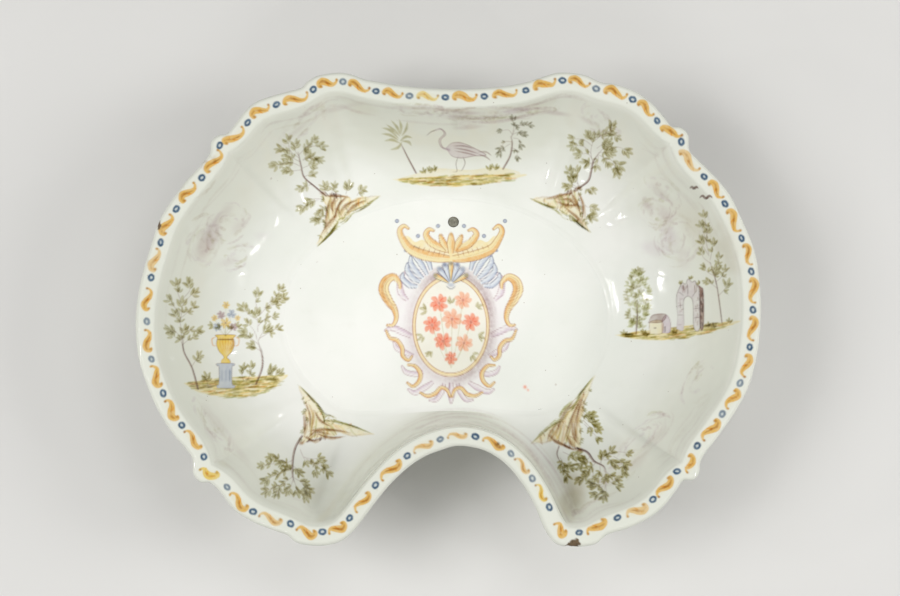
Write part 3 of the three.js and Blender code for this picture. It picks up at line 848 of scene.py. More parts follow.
def scumble(x, y, wide, high, tilt, count, tints, strength):
    """A cloud of thin dry pulls of the brush that swirl round a place."""
    for _ in range(count):
        turn = dice.uniform(0, 2 * math.pi)
        out = math.sqrt(dice.uniform(0.03, 1))
        arc = turn + np.linspace(0, dice.uniform(0.3, 1.1), 5)
        points = np.stack([wide * out * np.cos(arc), high * out * np.sin(arc)], -1)
        points = points + dice.normal(0, 0.5, points.shape) + dice.normal(0, 0.2 * min(wide, high), 2)
        thick, tint = dice.uniform(0.8, 3.4), tints[dice.integers(len(tints))]
        line, dry = turned(x, y, tilt, points), strength * dice.uniform(0.3, 1.5)
        stroke(line, thick, tint, dry, soft=dice.uniform(0.9, 2.4), streak=1.0)


# Leaves, branches and ground
def leaf(x, y, angle, length, tint=OLIVE, strength=0.9):
    wide = length * dice.uniform(0.38, 0.5)
    side = dice.uniform(-0.1, 0.1) * length
    line = turned(x, y, angle, [(0, 0), (length * 0.35, side), (length * 0.7, side), (length, 0)])
    stroke(line, [0.5 * wide, wide, 0.8 * wide, 0.25], tint, strength, (0.7, 0.2), 0.6, 0.5)
    edge = turned(x, y, angle, [(0, 0.1 * wide), (length * 0.4, side + 0.3 * wide),
                                (length * 0.85, side * 0.5)])
    stroke(edge, [0.6, 1.0, 0.4], DARK_OLIVE, strength * dice.uniform(0.25, 0.8), soft=0.6)


def spray(x, y, angle, size=6.0, count=5, tint=OLIVE, strength=0.9):
    """Pointed leaves on both sides of a twig's end, with one at its tip."""
    leaf(x, y, angle + dice.uniform(-12, 12), size, tint, strength)
    for k in range(1, count):
        side = 1 if k % 2 else -1
        back = turned(x, y, angle, [(size * (0.16 - 0.15 * k), 0.1 * side * size)])[0]
        turn = angle + side * dice.uniform(24, 52)
        leaf(back[0], back[1], turn, size * dice.uniform(0.75, 1.05), tint, strength)


def twig(points, width=0.8, tint=MANGANESE):
    stroke(shaky(points, 0.15), [width, width * 0.55], tint, 0.5, (0.8, 0.3), 0.5)


def trunk(points, width):
    """A trunk of three pulls, darker down one side."""
    p = np.asarray(points, float)
    stroke(p, [width, width * 0.8, width * 0.45], MANGANESE, 0.7, (0.9, 0.5), 0.6)
    stroke(p + [width * 0.28, 0.1], [width * 0.5, width * 0.4, width * 0.25], DARK_MANGANESE, 0.75,
           (0.7, 0.3), 0.5)
    stroke(p + [-width * 0.4, 0.0], [width * 0.3, 0.3], UMBER, 0.5, (0.7, 0.3), 0.5)


def meadow(left, right, low):
    """A strip of sunlit ground between two tips, hanging down to low units below them."""
    left, right = np.array(left, float), np.array(right, float)
    slope = unit(right - left)

    def ground(share, depth):
        return mix(left, right, share) + [0, low * depth * math.sin(share * math.pi) ** 0.7]

    shares = np.linspace(0, 1, 9)
    top = [ground(s, -0.12) for s in shares]
    under = [ground(s, 0.92) for s in shares[-2:0:-1]]
    fill(shaky(top + under, 0.3), STRAW, 0.7, 1.8, 0.5)
    for _ in range(int(70 + 12 * low)):
        at = ground(dice.uniform(0.03, 0.86), dice.uniform(-0.1, 1.0))
        reach = dice.uniform(4, 13)
        tint = one_of((GRASS, OCHRE, STRAW, OLIVE), [0.48, 0.1, 0.18, 0.24])
        end = at + slope * reach + [0, dice.uniform(-1.2, 0.6)]
        stroke([at, (at + end) / 2 + [0, dice.uniform(-0.5, 0.5)], end], dice.uniform(0.7, 1.9), tint,
               dice.uniform(0.35, 0.7), (0.3, 0.1), 0.8)
    for k in range(int(10 + low)):
        at = ground(dice.uniform(0.06, 0.8), dice.uniform(-0.1, 0.5))
        stroke([at, at + slope * dice.uniform(4, 12)], dice.uniform(0.6, 1.2),
               DARK_OLIVE if k % 3 else UMBER,
               dice.uniform(0.35, 0.7), soft=0.6)


def crag(tips, folds, hollow=0.45):
    """A pointed rock with hollow sides. The trunk stands on its second tip; the side across from
    that one, between the third and the first, is grassy."""
    first, near, last = (np.array(t, float) for t in tips)
    centre = (first + near + last) / 3
    sides = {"flat": (first, near, 0.2), "short": (near, last, 0.3), "grassy": (last, first, hollow)}

    def on_side(name, share, deeper=0.0):
        a, b, depth = sides[name]
        way = min(max(share, 0), 1) * math.pi
        bulges = 0.1 * math.sin(way * 5 + depth * 9) * math.sin(way)
        return mix(mix(a, b, share), centre, (depth + deeper) * math.sin(way) + bulges)

    outline = [on_side(name, s) for name in sides for s in np.linspace(0, 1, 15)[:-1]]
    fill(shaky(outline, 0.8), STRAW, 0.5, 1.8, 0.7)
    for _ in range(18):
        s = dice.uniform(0.06, 0.94)
        top = on_side("flat", 1 - s * 0.9)
        low = on_side("grassy", s, 0.1)
        bent = mix(top, low, 0.5) + dice.uniform(-2.6, 2.6, 2)
        line = [top, bent, mix(top, low, dice.uniform(0.7, 1.0))]
        tint = one_of((OCHRE, EARTH, STRAW, BRONZE, GRASS), [0.08, 0.2, 0.22, 0.24, 0.26])
        line, widths = shaky(line, 0.7), [dice.uniform(0.8, 2.0), dice.uniform(0.8, 2.6), 0.5]
        stroke(line, widths, tint, dice.uniform(0.3, 0.65), (0.5, 0.1), 0.9, 0.6)
    for line in folds:
        p = pairs(line)
        stroke(shaky(p, 0.9), [0.8, 2.4, 0.7], EARTH, 0.8, (0.5, 0.1), 0.8, 0.5)
        stroke(shaky(p + [1.6, 0.4], 0.4), [1.2, 3.0, 0.8], BRONZE, 0.55, (0.4, 0.1), 1.0)
        stroke(shaky(mix(p, p.mean(0), 0.3), 1.0), [0.6, 1.2, 0.4], DARK_MANGANESE, 0.4, (0.4, 0.1), 0.6)
    for _ in range(64):
        s = dice.uniform(-0.02, 0.86)
        deeper = dice.uniform(-0.42, 0.25)
        shares = s + np.array([0, 0.5, 1]) * dice.uniform(0.06, 0.2)
        tint = one_of((GRASS, SAGE, OLIVE, DARK_OLIVE), [0.4, 0.25, 0.25, 0.1])
        line, wide = [on_side("grassy", v, deeper) for v in shares], dice.uniform(0.6, 1.5)
        stroke(line, wide, tint, dice.uniform(0.4, 0.85), (0.3, 0.1), 0.7)
    for k in range(30):
        at = mix(centre, (first, near, last)[k % 3], dice.uniform(0, 0.7)) + dice.normal(0, 1.6, 2)
        way = unit(centre - near) * dice.uniform(1.5, 4.5) + dice.normal(0, 0.8, 2)
        tint = one_of((EARTH, OCHRE, BRONZE, SAGE), [0.34, 0.08, 0.28, 0.3])
        line, wide = [at, at + way * 0.5 + dice.normal(0, 0.5, 2), at + way], dice.uniform(0.6, 1.8)
        stroke(line, wide, tint, dice.uniform(0.3, 0.7), (0.4, 0.1), 0.7, 0.7)
    for share in np.arange(0.06, 0.96, 0.1):
        at = on_side("short", share + dice.uniform(-0.04, 0.04))
        away = math.degrees(math.atan2(*(at - centre)[::-1])) + dice.uniform(-25, 25)
        spray(at[0], at[1], away, dice.uniform(3.0, 4.8), 3, SAGE, 0.7)
    for name, shares, tint in (
        ("flat", (0.35, 0), EARTH), ("grassy", (0.7, 1), OLIVE), ("grassy", (0.3, 0), OLIVE),
        ("short", (0.5, 1), EARTH), ("short", (0.5, 0.1), BRONZE),
    ):
        line = shaky([on_side(name, v) for v in np.linspace(*shares, 6)], 0.7)
        stroke(line, [1.8, 1.2, 0.5], tint, 0.42, soft=0.9, streak=0.7)
    for k in range(13):
        at = mix(near, on_side("flat", 0.2), dice.uniform(0, 0.42))
        line, wide = shaky([at, at + unit(centre - at) * dice.uniform(2, 6)], 0.6), dice.uniform(1.0, 2.2)
        stroke(line, wide, UMBER if k % 3 else DARK_MANGANESE, dice.uniform(0.4, 0.75), (0.5, 0.2), 0.9,
               0.6)
    blob(near[0], near[1], 4.6, 3.0, EARTH, 0.9, ragged=0.5)


# Border on the flange. Marks count the blue rings along the rim, with each mark's share of the
# way round and its distance in from the edge in millimetres; an orange scroll joins every two rings
RING_COUNT = 49
RING_MARKS = [
    (0, 0.009, 6.3), (3, 0.058, 7.0), (4, 0.089, 8.0), (6, 0.136, 6.6), (13, 0.278, 4.6), (20, 0.419, 5.1),
    (24, 0.501, 4.8), (27, 0.555, 5.8), (35, 0.720, 5.2), (37, 0.765, 7.4), (40, 0.824, 6.7),
    (41, 0.849, 4.6),
    (44, 0.911, 7.5), (47, 0.975, 5.4), (49, 1.009, 6.3),
]
SCROLL_BODY = [(-6.7, -1.3), (-6.5, 0.2), (-4.6, 1.5), (-2.0, 0.9), (0.8, -0.7), (3.2, -1.8), (5.5, -1.2),
               (6.4, 0.5), (5.3, 1.2)]
SCROLL_WIDTHS = np.array([2.2, 2.0, 2.7, 4.2, 5.6, 5.8, 4.6, 3.4, 2.6])
SCROLL_FLICKS = [[(0.9, -0.4), (-0.3, 1.2), (-1.0, 2.3)], [(-4.4, 1.7), (-5.3, 2.6)],
                 [(2.4, -1.6), (1.4, -2.8)]]
SCROLL_LENGTH = 15.2


def on_flange(share, inward):
    """Sheet places on the flange, from shares of the way round the rim and distances in."""
    at = np.atleast_1d(share) * STATIONS
    low = np.floor(at).astype(int)
    part = (at - low)[:, None]
    edge = mix(rim[low % STATIONS], rim[(low + 1) % STATIONS], part)
    inwards = unit(mix(rim_normals[low % STATIONS], rim_normals[(low + 1) % STATIONS], part))
    plan = edge + inwards * np.atleast_1d(inward)[:, None]
    return on_sheet(with_height(plan, RIM_HEIGHT + GLAZE - FLANGE_DROP / 2))


def border_ring(share, inward):
    here = on_flange(share, inward)[0]
    ahead = on_flange(share + 0.002, inward)[0] - here
    angle = math.degrees(math.atan2(ahead[1], ahead[0])) + dice.uniform(-20, 10)
    wide, high = dice.uniform(2.6, 3.1), dice.uniform(1.9, 2.4)
    ring = turned(here[0], here[1], angle, oval((0, 0), wide, high, 15))
    blob(here[0], here[1], 4.6, 4.0, PALE_COBALT, 0.25, angle)
    pale = 0.75 if dice.random() < 0.25 else 1.0
    stroke(ring, list(dice.uniform(2.0, 2.9, 15)), COBALT, pale, (1, 1), 0.7, 0.25, core=DARK_COBALT)
    blob(here[0], here[1], 1.2, 0.9, PALE_COBALT, 0.3, angle)


def border_scroll(share, inward, next_share, next_inward):
    room = (next_share - share) * rim_length - 7.4
    size = np.clip(room / SCROLL_LENGTH, 0.78, 1.1) * dice.uniform(0.94, 1.04)
    lie = dice.uniform(-0.03, 0.05)
    middle, depth = (share + next_share) / 2, (inward + next_inward) / 2

    def placed(points):
        p = shaky(np.array(points) * size, 0.12)
        return on_flange(middle + p[:, 0] / rim_length, depth + p[:, 1] + p[:, 0] * lie)

    tint, deep = (YELLOW, OCHRE) if dice.random() < 0.06 else (ORANGE, BRONZE)
    strength = dice.choice([0.75, 1.0, 1.0, 1.0, 1.0])
    stroke(placed([(-5, 0.4), (0, 0), (5, -0.4)]), 8, STRAW, 0.18, soft=3.0)
    line, widths = placed(SCROLL_BODY), list(SCROLL_WIDTHS * dice.uniform(1.02, 1.3) * size)
    stroke(line, widths, tint, strength, (0.8, 0.7), 0.7, 0.3, core=deep)
    for flick, chance in zip(SCROLL_FLICKS, (1, 0.7, 0.6)):
        if dice.random() < chance:
            stroke(placed(flick), [1.9, 1.1, 0.4][-len(flick):], tint, strength * 0.85, soft=0.6)
    head, tip = placed([(5.5, 0.9), (-6.7, -1.1)])
    spine = placed(SCROLL_BODY[2:7])
    stroke(spine, [0.6, 1.4, 1.9, 1.2, 0.6], BRONZE, 0.55 * strength, soft=1.0, streak=0.7)
    blob(head[0], head[1], 2.8, 2.4, BRONZE, 0.8, ragged=0.3)
    blob(tip[0], tip[1], 2.2, 2.0, UMBER if dice.random() < 0.4 else BRONZE, 0.75, ragged=0.3)


def border():
    marks = np.array(RING_MARKS)
    count = np.arange(RING_COUNT + 1)
    shares = np.interp(count, marks[:, 0], marks[:, 1]) + dice.normal(0, 0.0006, RING_COUNT + 1)
    inward = np.interp(count, marks[:, 0], marks[:, 2]) + dice.normal(0, 0.35, RING_COUNT + 1)
    shares[-1], inward[-1] = shares[0] + 1, inward[0]
    for k in range(RING_COUNT):
        border_scroll(shares[k], inward[k], shares[k + 1], inward[k + 1])
        border_ring(shares[k], inward[k])


# Thin manganese clouds, with some washes of painted shade: x, y, half width, half height, tint, strength
# and tilt
CLOUDS_AND_SHADE = [
    (204, 246, 17, 11, MAUVE, 0.37, -60), (214, 238, 11, 17, LILAC, 0.41, 20),
    (228, 262, 16, 8, MAUVE, 0.22, -20),
    (240, 226, 17, 8, MAUVE, 0.2, -35), (222, 216, 22, 7, MAUVE, 0.24, -50),
    (262, 236, 15, 9, LILAC, 0.17, 0),
    (648, 206, 12, 9, MAUVE, 0.54, 30), (664, 214, 18, 10, MAUVE, 0.31, 50),
    (670, 236, 20, 11, LILAC, 0.37, 60),
    (652, 248, 15, 9, LILAC, 0.27, 20), (684, 256, 11, 15, MAUVE, 0.2, 0),
    (660, 192, 22, 6, MAUVE, 0.2, 40),
    (470, 113, 34, 4.5, MAUVE, 0.5, 2), (486, 117, 22, 4, MAUVE, 0.4, -4),
    (515, 111, 26, 3.2, LILAC, 0.6, -7),
    # Painted shade: the buff and sage washes in the front right hollow, partly real glaze pooled there, and
    # the buff washes that darken the upper right wall
    (576, 492, 18, 30, BUFF, 0.42, 0), (573, 504, 14, 20, SAGE, 0.2, 0), (700, 230, 24, 48, BUFF, 0.3, -30),
    (728, 250, 16, 40, BUFF, 0.3, -20),
    (452, 118, 20, 3.4, MAUVE, 0.3, 6), (420, 108, 30, 3, MAUVE, 0.27, 2),
    (470, 127, 22, 3, MAUVE, 0.34, -4),
    (556, 113, 22, 4, MAUVE, 0.37, 8), (588, 121, 18, 5, MAUVE, 0.31, 30),
    (340, 108, 30, 4, MAUVE, 0.2, -12),
    (300, 128, 20, 4, MAUVE, 0.2, -40), (612, 450, 24, 10, MAUVE, 0.14, -40),
    (636, 462, 26, 8, MAUVE, 0.22, -45),
    (654, 440, 24, 8, MAUVE, 0.17, -50), (214, 420, 26, 7, MAUVE, 0.15, 55),
    (240, 452, 26, 6, MAUVE, 0.14, 50),
]
SWIRLS = [
    (204, 244, 17, 22, 20, 46), (226, 226, 26, 15, -40, 34), (238, 256, 18, 12, -20, 22),
    (200, 176, 14, 26, 30, 22),
    (656, 212, 18, 16, 40, 44), (676, 240, 22, 22, 30, 44), (664, 190, 24, 9, 40, 22),
    (300, 128, 34, 10, -40, 24),
    (470, 114, 44, 6, 2, 40), (520, 112, 40, 5, -6, 30), (420, 110, 34, 5, 3, 20),
    (600, 124, 24, 12, 40, 26),
    (640, 440, 40, 14, -42, 40), (214, 424, 34, 12, 55, 24), (700, 380, 30, 14, -60, 24),
    (610, 478, 30, 8, -30, 20),
]
SWIRL_TINTS = [MAUVE, MAUVE, BUFF, LILAC, SAGE]
BACK_CLOUD_PULLS = [
    (442, 113, 462, 117, 488, 118, 510, 113), (470, 121, 494, 122, 516, 118, 545, 111),
    (432, 109, 452, 111, 476, 108), (500, 108, 522, 110, 546, 106),
]
# Thin streaks that run along under the flange: from and to, millimetres in, how many, strength
RIM_WASHES = [
    (0.98, 1.06, 16.5, 12, 0.2), (0.92, 0.98, 16.5, 5, 0.07), (0.05, 0.10, 15, 8, 0.18),
    (0.86, 0.92, 16, 3, 0.06), (0.42, 0.60, 15.5, 12, 0.13),
    (0.60, 0.74, 16, 9, 0.08), (0.28, 0.42, 16, 9, 0.08), (0.12, 0.2, 16, 6, 0.10),
    (0.78, 0.88, 17, 6, 0.08),
]


def clouds_and_shade():
    for x, y, wide, high, tint, strength, tilt in CLOUDS_AND_SHADE:
        blob(x, y, wide, high, tint, strength, tilt, ragged=0.9)
    for x, y, wide, high, tilt, count in SWIRLS:
        scumble(x, y, wide, high, tilt, count, SWIRL_TINTS, 0.26)
    for line in BACK_CLOUD_PULLS:
        stroke(shaky(pairs(line), 0.5), [1.6, 3.4, 1.8], MAUVE, 0.4, soft=1.8, streak=0.9)
    for start, end, inward, count, strength in RIM_WASHES:
        for _ in range(count):
            first = dice.uniform(start, end - 0.02)
            shares = np.linspace(first, first + dice.uniform(0.02, 0.06), 8)
            depth = inward + dice.uniform(-3, 7) + dice.normal(0, 0.25, 8).cumsum()
            tint = MAUVE if dice.random() < 0.6 else BUFF
            widths, thick = list(dice.uniform(0.8, 3.0, 8)), strength * dice.uniform(0.8, 2.2)
            stroke(on_flange(shares, depth), widths, tint, thick, soft=2.0, streak=0.9)


# Four trees on pointed rocks, growing outwards from the floor's corners. The rock's folds and the
# twigs are rows of x, y, x, y and so on
BACK_LEFT_TREE = {
    "strength": 0.68,
    "rock": [(380, 196), (323, 193), (318, 246)],
    "folds": [
        (331, 197, 327, 210, 325, 228), (338, 197, 331, 205, 333, 214), (347, 197, 338, 204, 332, 222),
        (357, 198, 346, 206, 338, 216), (325, 196, 336, 195, 350, 197), (366, 199, 354, 206, 344, 216),
        (322, 234, 330, 222, 338, 212),
    ],
    "trunks": [([(326, 196), (314, 186), (304, 177), (301, 166), (298, 152)], 2.0)],
    "twigs": [
        (299, 158, 291, 151, 288, 140), (299, 156, 295, 150, 295, 144), (291, 151, 285, 150, 280, 149),
        (300, 162, 293, 158, 287, 154), (300, 166, 293, 163, 288, 161), (293, 163, 283, 164, 276, 166),
        (301, 170, 293, 171, 287, 171), (299, 155, 304, 149, 308, 145), (304, 149, 310, 144, 314, 140),
        (308, 146, 316, 146, 322, 146), (303, 160, 305, 158, 307, 153), (303, 160, 309, 158, 314, 157),
        (309, 158, 315, 159, 320, 160), (302, 168, 307, 166, 312, 165), (304, 177, 308, 175, 312, 174),
        (312, 184, 307, 186, 301, 188), (322, 199, 314, 199, 311, 201), (318, 200, 308, 205, 302, 208),
        (323, 206, 323, 210, 320, 213), (322, 216, 320, 219, 316, 221), (326, 194, 325, 190, 324, 186),
        (331, 194, 333, 190, 334, 186), (346, 194, 347, 190, 348, 186), (357, 195, 359, 192, 362, 190),
    ],
}
BACK_RIGHT_TREE = {
    "strength": 0.72,
    "rock": [(531, 199), (579, 188), (590, 232)],
    "folds": [
        (556, 203, 568, 206, 580, 204), (578, 192, 582, 206, 584, 222), (569, 192, 576, 204, 580, 216),
        (545, 199, 560, 196, 574, 192), (564, 208, 575, 216, 585, 227), (560, 199, 570, 200, 578, 210),
    ],
    "trunks": [([(579, 188), (588, 181), (591, 172), (593, 162), (598, 154)], 2.3)],
    "twigs": [
        (593, 160, 588, 154, 580, 154), (591, 153, 583, 146, 573, 146), (592, 146, 584, 140, 573, 139),
        (593, 143, 590, 139, 588, 135), (593, 163, 591, 152, 593, 142, 596, 135),
        (596, 140, 602, 135, 607, 133), (604, 134, 610, 130, 612, 126), (606, 133, 612, 134, 617, 137),
        (597, 148, 602, 145, 607, 142), (598, 154, 603, 149, 611, 147), (612, 148, 619, 147, 627, 151),
        (598, 153, 604, 152, 610, 152), (592, 163, 589, 163, 586, 163), (598, 155, 598, 160, 597, 166),
        (599, 155, 605, 158, 608, 163), (606, 158, 613, 161, 620, 166), (612, 163, 616, 168, 617, 173),
        (580, 186, 573, 178, 569, 171), (578, 186, 577, 178, 577, 171), (576, 187, 572, 183, 572, 178),
        (576, 188, 572, 187, 568, 187), (585, 189, 588, 189, 592, 190), (585, 205, 588, 207, 593, 208),
        (587, 214, 589, 215, 592, 217),
    ],
}
FRONT_LEFT_TREE = {
    "strength": 0.86,
    "rock": [(374, 434.5), (301, 443), (298.5, 385)],
    "hollow": 0.95,
    "folds": [
        (306, 430, 320, 429, 336, 431, 352, 433), (304, 436, 314, 441, 322, 437),
        (306, 402, 311, 416, 310, 430), (318, 434, 330, 438, 344, 436), (314, 410, 319, 420, 330, 427),
        (303, 412, 305, 426, 303, 438), (308, 438, 318, 432, 332, 434),
    ],
    "trunks": [([(302, 436), (296, 446), (293, 458), (292.5, 474), (294, 482)], 2.4)],
    "twigs": [
        (293, 460, 286, 463, 281, 464), (286, 462, 278, 459, 271, 458), (280, 464, 270, 464, 263, 466),
        (292, 468, 285, 471, 277, 474), (292, 472, 290, 470, 287, 468), (278, 474, 271, 477, 266, 481),
        (293, 476, 288, 480, 284, 483), (285, 483, 276, 487, 267, 491), (286, 484, 280, 488, 277, 494),
        (293, 480, 291, 486, 288, 491), (294, 480, 296, 486, 297, 492), (294, 478, 300, 481, 305, 483),
        (301, 482, 305, 487, 309, 490), (303, 487, 306, 492, 307, 497), (293, 466, 297, 469, 300, 473),
        (300, 450, 303, 456, 306, 462), (304, 457, 311, 459, 319, 458), (306, 459, 315, 463, 323, 464),
        (310, 461, 315, 467, 316, 472), (318, 465, 324, 468, 328, 473),
    ],
}
FRONT_RIGHT_TREE = {
    "strength": 1.0,
    "rock": [(531, 443.5), (580, 450), (594, 376)],
    "folds": [
        (586, 390, 576, 408, 568, 428, 563, 446), (576, 399, 564, 416, 554, 436),
        (560, 420, 552, 434, 546, 442), (572, 420, 574, 434, 578, 446), (556, 440, 566, 447, 577, 450),
        (584, 396, 580, 410, 574, 426), (566, 434, 570, 442, 574, 448), (548, 434, 556, 442, 564, 446),
    ],
    "trunks": [([(576, 448), (587, 452), (594, 461), (603, 466), (606, 472)], 2.7),
               ([(559, 446), (557, 454), (560, 462)], 1.4)],
    "twigs": [
        (581, 410, 586, 415, 592, 416), (582, 416, 588, 421, 595, 423), (583, 420, 590, 427, 597, 429),
        (584, 424, 591, 431, 598, 438), (600, 463, 606, 455, 611, 451), (606, 457, 616, 452, 628, 453),
        (604, 460, 611, 460, 615, 464), (614, 457, 620, 460, 626, 463), (620, 462, 624, 467, 625, 472),
        (601, 465, 601, 460, 603, 455), (560, 458, 562, 461, 563, 466), (561, 462, 567, 465, 572, 467),
        (561, 464, 565, 470, 567, 477), (563, 452, 570, 455, 578, 456), (590, 457, 585, 462, 580, 466),
        (596, 462, 592, 467, 587, 471), (590, 470, 586, 476, 580, 480), (592, 468, 593, 474, 591, 481),
        (600, 466, 600, 472, 597, 478), (604, 470, 606, 474, 605, 479), (606, 472, 611, 475, 617, 478),
        (607, 480, 612, 483, 618, 486), (606, 480, 600, 485, 593, 486), (606, 484, 603, 491, 596, 495),
        (606, 486, 606, 492, 604, 498), (594, 462, 588, 462, 584, 460),
    ],
}


def bough(numbers, size, strength, tint=None):
    """A twig with leaves at its end and a few at the bend before it."""
    line = pairs(numbers)
    twig(line)
    before, end = line[-2:]
    angle = math.degrees(math.atan2(*(end - before)[::-1]))
    tint = tint if tint is not None else one_of((OLIVE, SAGE), [0.65, 0.35])
    spray(end[0], end[1], angle, size * dice.uniform(0.85, 1.15), int(dice.integers(4, 7)), tint, strength)
    for side in (-1, 1):
        if dice.random() < 0.7:
            spray(before[0], before[1], angle + side * dice.uniform(35, 60), size * 0.85, 2, tint, strength)


def corner_tree(tree):
    crag(tree["rock"], tree["folds"], tree.get("hollow", 0.45))
    for line, width in tree["trunks"]:
        trunk(line, width)
    for line in tree["twigs"]:
        bough(line, 7.2, tree["strength"])


# The scene on the left wall: a flowering urn between two small trees
LEFT_GROUND = ((184, 383), (288, 376), 19)
LEFT_SCENE_TRUNKS = [[(198, 389), (192, 368), (184, 352), (182, 338)],
                     [(256, 384), (262, 368), (262, 355), (258, 342)]]
LEFT_SCENE_TWIGS = [
    (184, 350, 180, 340, 172, 336), (183, 346, 184, 338, 184, 330), (182, 345, 188, 340, 194, 336),
    (182, 340, 176, 332, 170, 330), (183, 334, 190, 330, 198, 330), (182, 338, 180, 322, 175, 314),
    (180, 322, 182, 312, 182, 303), (181, 318, 188, 312, 193, 306), (181, 314, 174, 306, 170, 300),
    (182, 306, 188, 298, 194, 293), (181, 302, 178, 292, 176, 285), (184, 298, 190, 290, 188, 284),
    (192, 366, 196, 360, 199, 356), (258, 344, 250, 338, 244, 334), (258, 342, 262, 334, 266, 329),
    (258, 340, 254, 330, 248, 324), (260, 338, 270, 332, 278, 328), (258, 332, 258, 322, 256, 314),
    (258, 326, 266, 318, 274, 316), (257, 320, 248, 314, 243, 308), (259, 316, 266, 308, 272, 302),
    (258, 312, 256, 302, 257, 294), (264, 308, 276, 304, 283, 298), (268, 304, 276, 296, 281, 289),
    (262, 352, 256, 348, 252, 346), (244, 382, 242, 374, 243, 368), (246, 382, 250, 374, 251, 367),
    (264, 380, 268, 374, 272, 369), (208, 386, 207, 381, 206, 377), (266, 381, 273, 378, 279, 373),
]
URN_MIDDLE = 225.5
PEDESTAL_SIDE = [(-8.5, 388), (-8.5, 385), (-6.6, 384), (-6.6, 367), (-8.2, 366), (-8.2, 363.5)]
URN_SIDE = [(-4.5, 363), (-4, 360), (-1.6, 357), (-6.5, 351), (-9, 344), (-8, 338), (-9.4, 335)]
URN_HANDLE = [(8.6, 346), (12.6, 345), (13.4, 339), (9.4, 337)]
URN_FLOWERS = [
    (-8, 327, 4.6, "slate"), (0, 323, 5.6, "yellow"), (8, 327, 4.4, "mauve"), (-4.5, 315, 4.4, "mauve"),
    (6, 314, 4.8, "slate"),
    (0.5, 305, 4, "yellow"), (-11, 318, 3.4, "yellow"), (12, 318, 3.2, "yellow"),
]


def flower(x, y, size, tint, heart, petals=6):
    """A rosette of short curved dabs round a dark heart."""
    first = dice.uniform(0, 360)
    blob(x, y, size * 0.95, size * 0.9, tint, 0.35, ragged=0.3)
    for k in range(petals):
        angle = first + k * 360 / petals + dice.uniform(-9, 9)
        p = turned(x, y, angle, [(size * 0.25, 0), (size * 0.62, size * 0.12), (size * 0.95, 0)])
        stroke(p, [size * 0.3, size * 0.55, size * 0.3], tint, 0.8, (0.6, 0.5), 0.7, 0.4)
        q = turned(x, y, angle + 180 / petals, [(size * 0.3, 0), (size * 0.85, 0)])
        stroke(q, [0.7, 0.4], heart, 0.5, soft=0.5)
    blob(x, y, size * 0.26, size * 0.26, heart, 0.9, ragged=0.2)


def beside(middle, points, side=1):
    return [(middle + side * x, y) for x, y in points]


def doubled(side):
    """An outline from its left side, drawn upwards, and the same on the right."""
    return side + beside(0, side[::-1], -1)


def left_scene():
    urn, pedestal = doubled(URN_SIDE), doubled(PEDESTAL_SIDE)
    meadow(*LEFT_GROUND)
    for line in LEFT_SCENE_TRUNKS:
        trunk(line, 2.0)
    for line in LEFT_SCENE_TWIGS:
        bough(line, 7.4, 0.78)
    for tint, body, strength in ((SLATE, pedestal, 0.75), (YELLOW, urn, 0.95)):
        fill(beside(URN_MIDDLE, body), None, 1.0, 0.6, 0.0)
        fill(beside(URN_MIDDLE, body), tint, strength, 0.7, 0.35)
    for side in (-1, 1):
        stroke(beside(URN_MIDDLE, URN_HANDLE, side), 1.1, OCHRE, 0.85)
    stroke(beside(URN_MIDDLE, loop(urn)), 0.7, UMBER, 0.7)
    stroke(beside(URN_MIDDLE, loop(pedestal)), 0.7, MANGANESE, 0.6)
    for x in (-5.5, -2.8, 0, 2.8, 5.5):
        stroke(beside(URN_MIDDLE, [(x, 337), (x * 0.95, 344), (x * 0.5, 353)]), [0.9, 0.7, 0.4], OCHRE, 0.8)
    stroke(beside(URN_MIDDLE, [(6.8, 338), (7.6, 344), (4.5, 351)]), [2.2, 2.6, 1.0], AMBER, 0.6)
    stroke(beside(URN_MIDDLE, [(-8.6, 339.5), (8.6, 339.5)]), 1.4, DARK_MANGANESE, 0.75)
    for x in (-3.5, 0.5, 4.2):
        stroke(beside(URN_MIDDLE, [(x, 369), (x, 382)]), [1.6, 1.2], COBALT if x > 3 else SLATE, 0.45)
    tints = {"slate": (SLATE, COBALT), "yellow": (YELLOW, UMBER), "mauve": (MAUVE, MANGANESE)}
    for x, y, _, _ in URN_FLOWERS:
        twig(beside(URN_MIDDLE, [(0, 336), (x * 0.6, mix(336, y, 0.5)), (x, y)]), 0.7, OLIVE)
    for x in (-13, -6, 4, 12):
        spray(URN_MIDDLE + x, 330 - abs(x) * 0.3, -90 + x * 5, 5.5, 3)
    for x, y, size, kind in URN_FLOWERS:
        flower(URN_MIDDLE + x, y, size, *tints[kind])


# The scene on the right wall: a ruined arch, a cottage and trees
RIGHT_GROUND = ((616, 335), (740, 321), 11)
ARCH_FRONT = [(676.5, 329), (677.5, 316), (676.5, 297), (679, 289), (682, 283), (685.5, 284), (688, 279),
              (692, 282), (695, 281),
              (697, 286), (699, 291), (700, 327), (694, 328), (693, 303), (690, 297), (686, 297),
              (683.5, 303), (683.5, 329)]
ARCH_SIDE = [(696, 284), (701, 287), (703.5, 293), (703.5, 326), (700, 327), (699.5, 291)]
ARCH_JOINTS = [[(678, 306), (683, 305)], [(678, 315), (683, 315)], [(694, 309), (699, 308)],
               [(694, 318), (699, 317)],
               [(679, 292), (684, 296)], [(687, 282), (688, 296)], [(697, 290), (692, 297)]]
COTTAGE_WALL = [(650, 334), (650, 322), (662, 321), (662, 333)]
COTTAGE_GABLE = [(662, 333), (662, 321), (666, 315), (670, 320.5), (670, 332)]
COTTAGE_ROOF = [(648, 323), (653, 315), (666, 314.5), (662, 322)]
TALL_TREE_TRUNK = [(722, 323), (719, 300), (716, 282), (710, 262)]
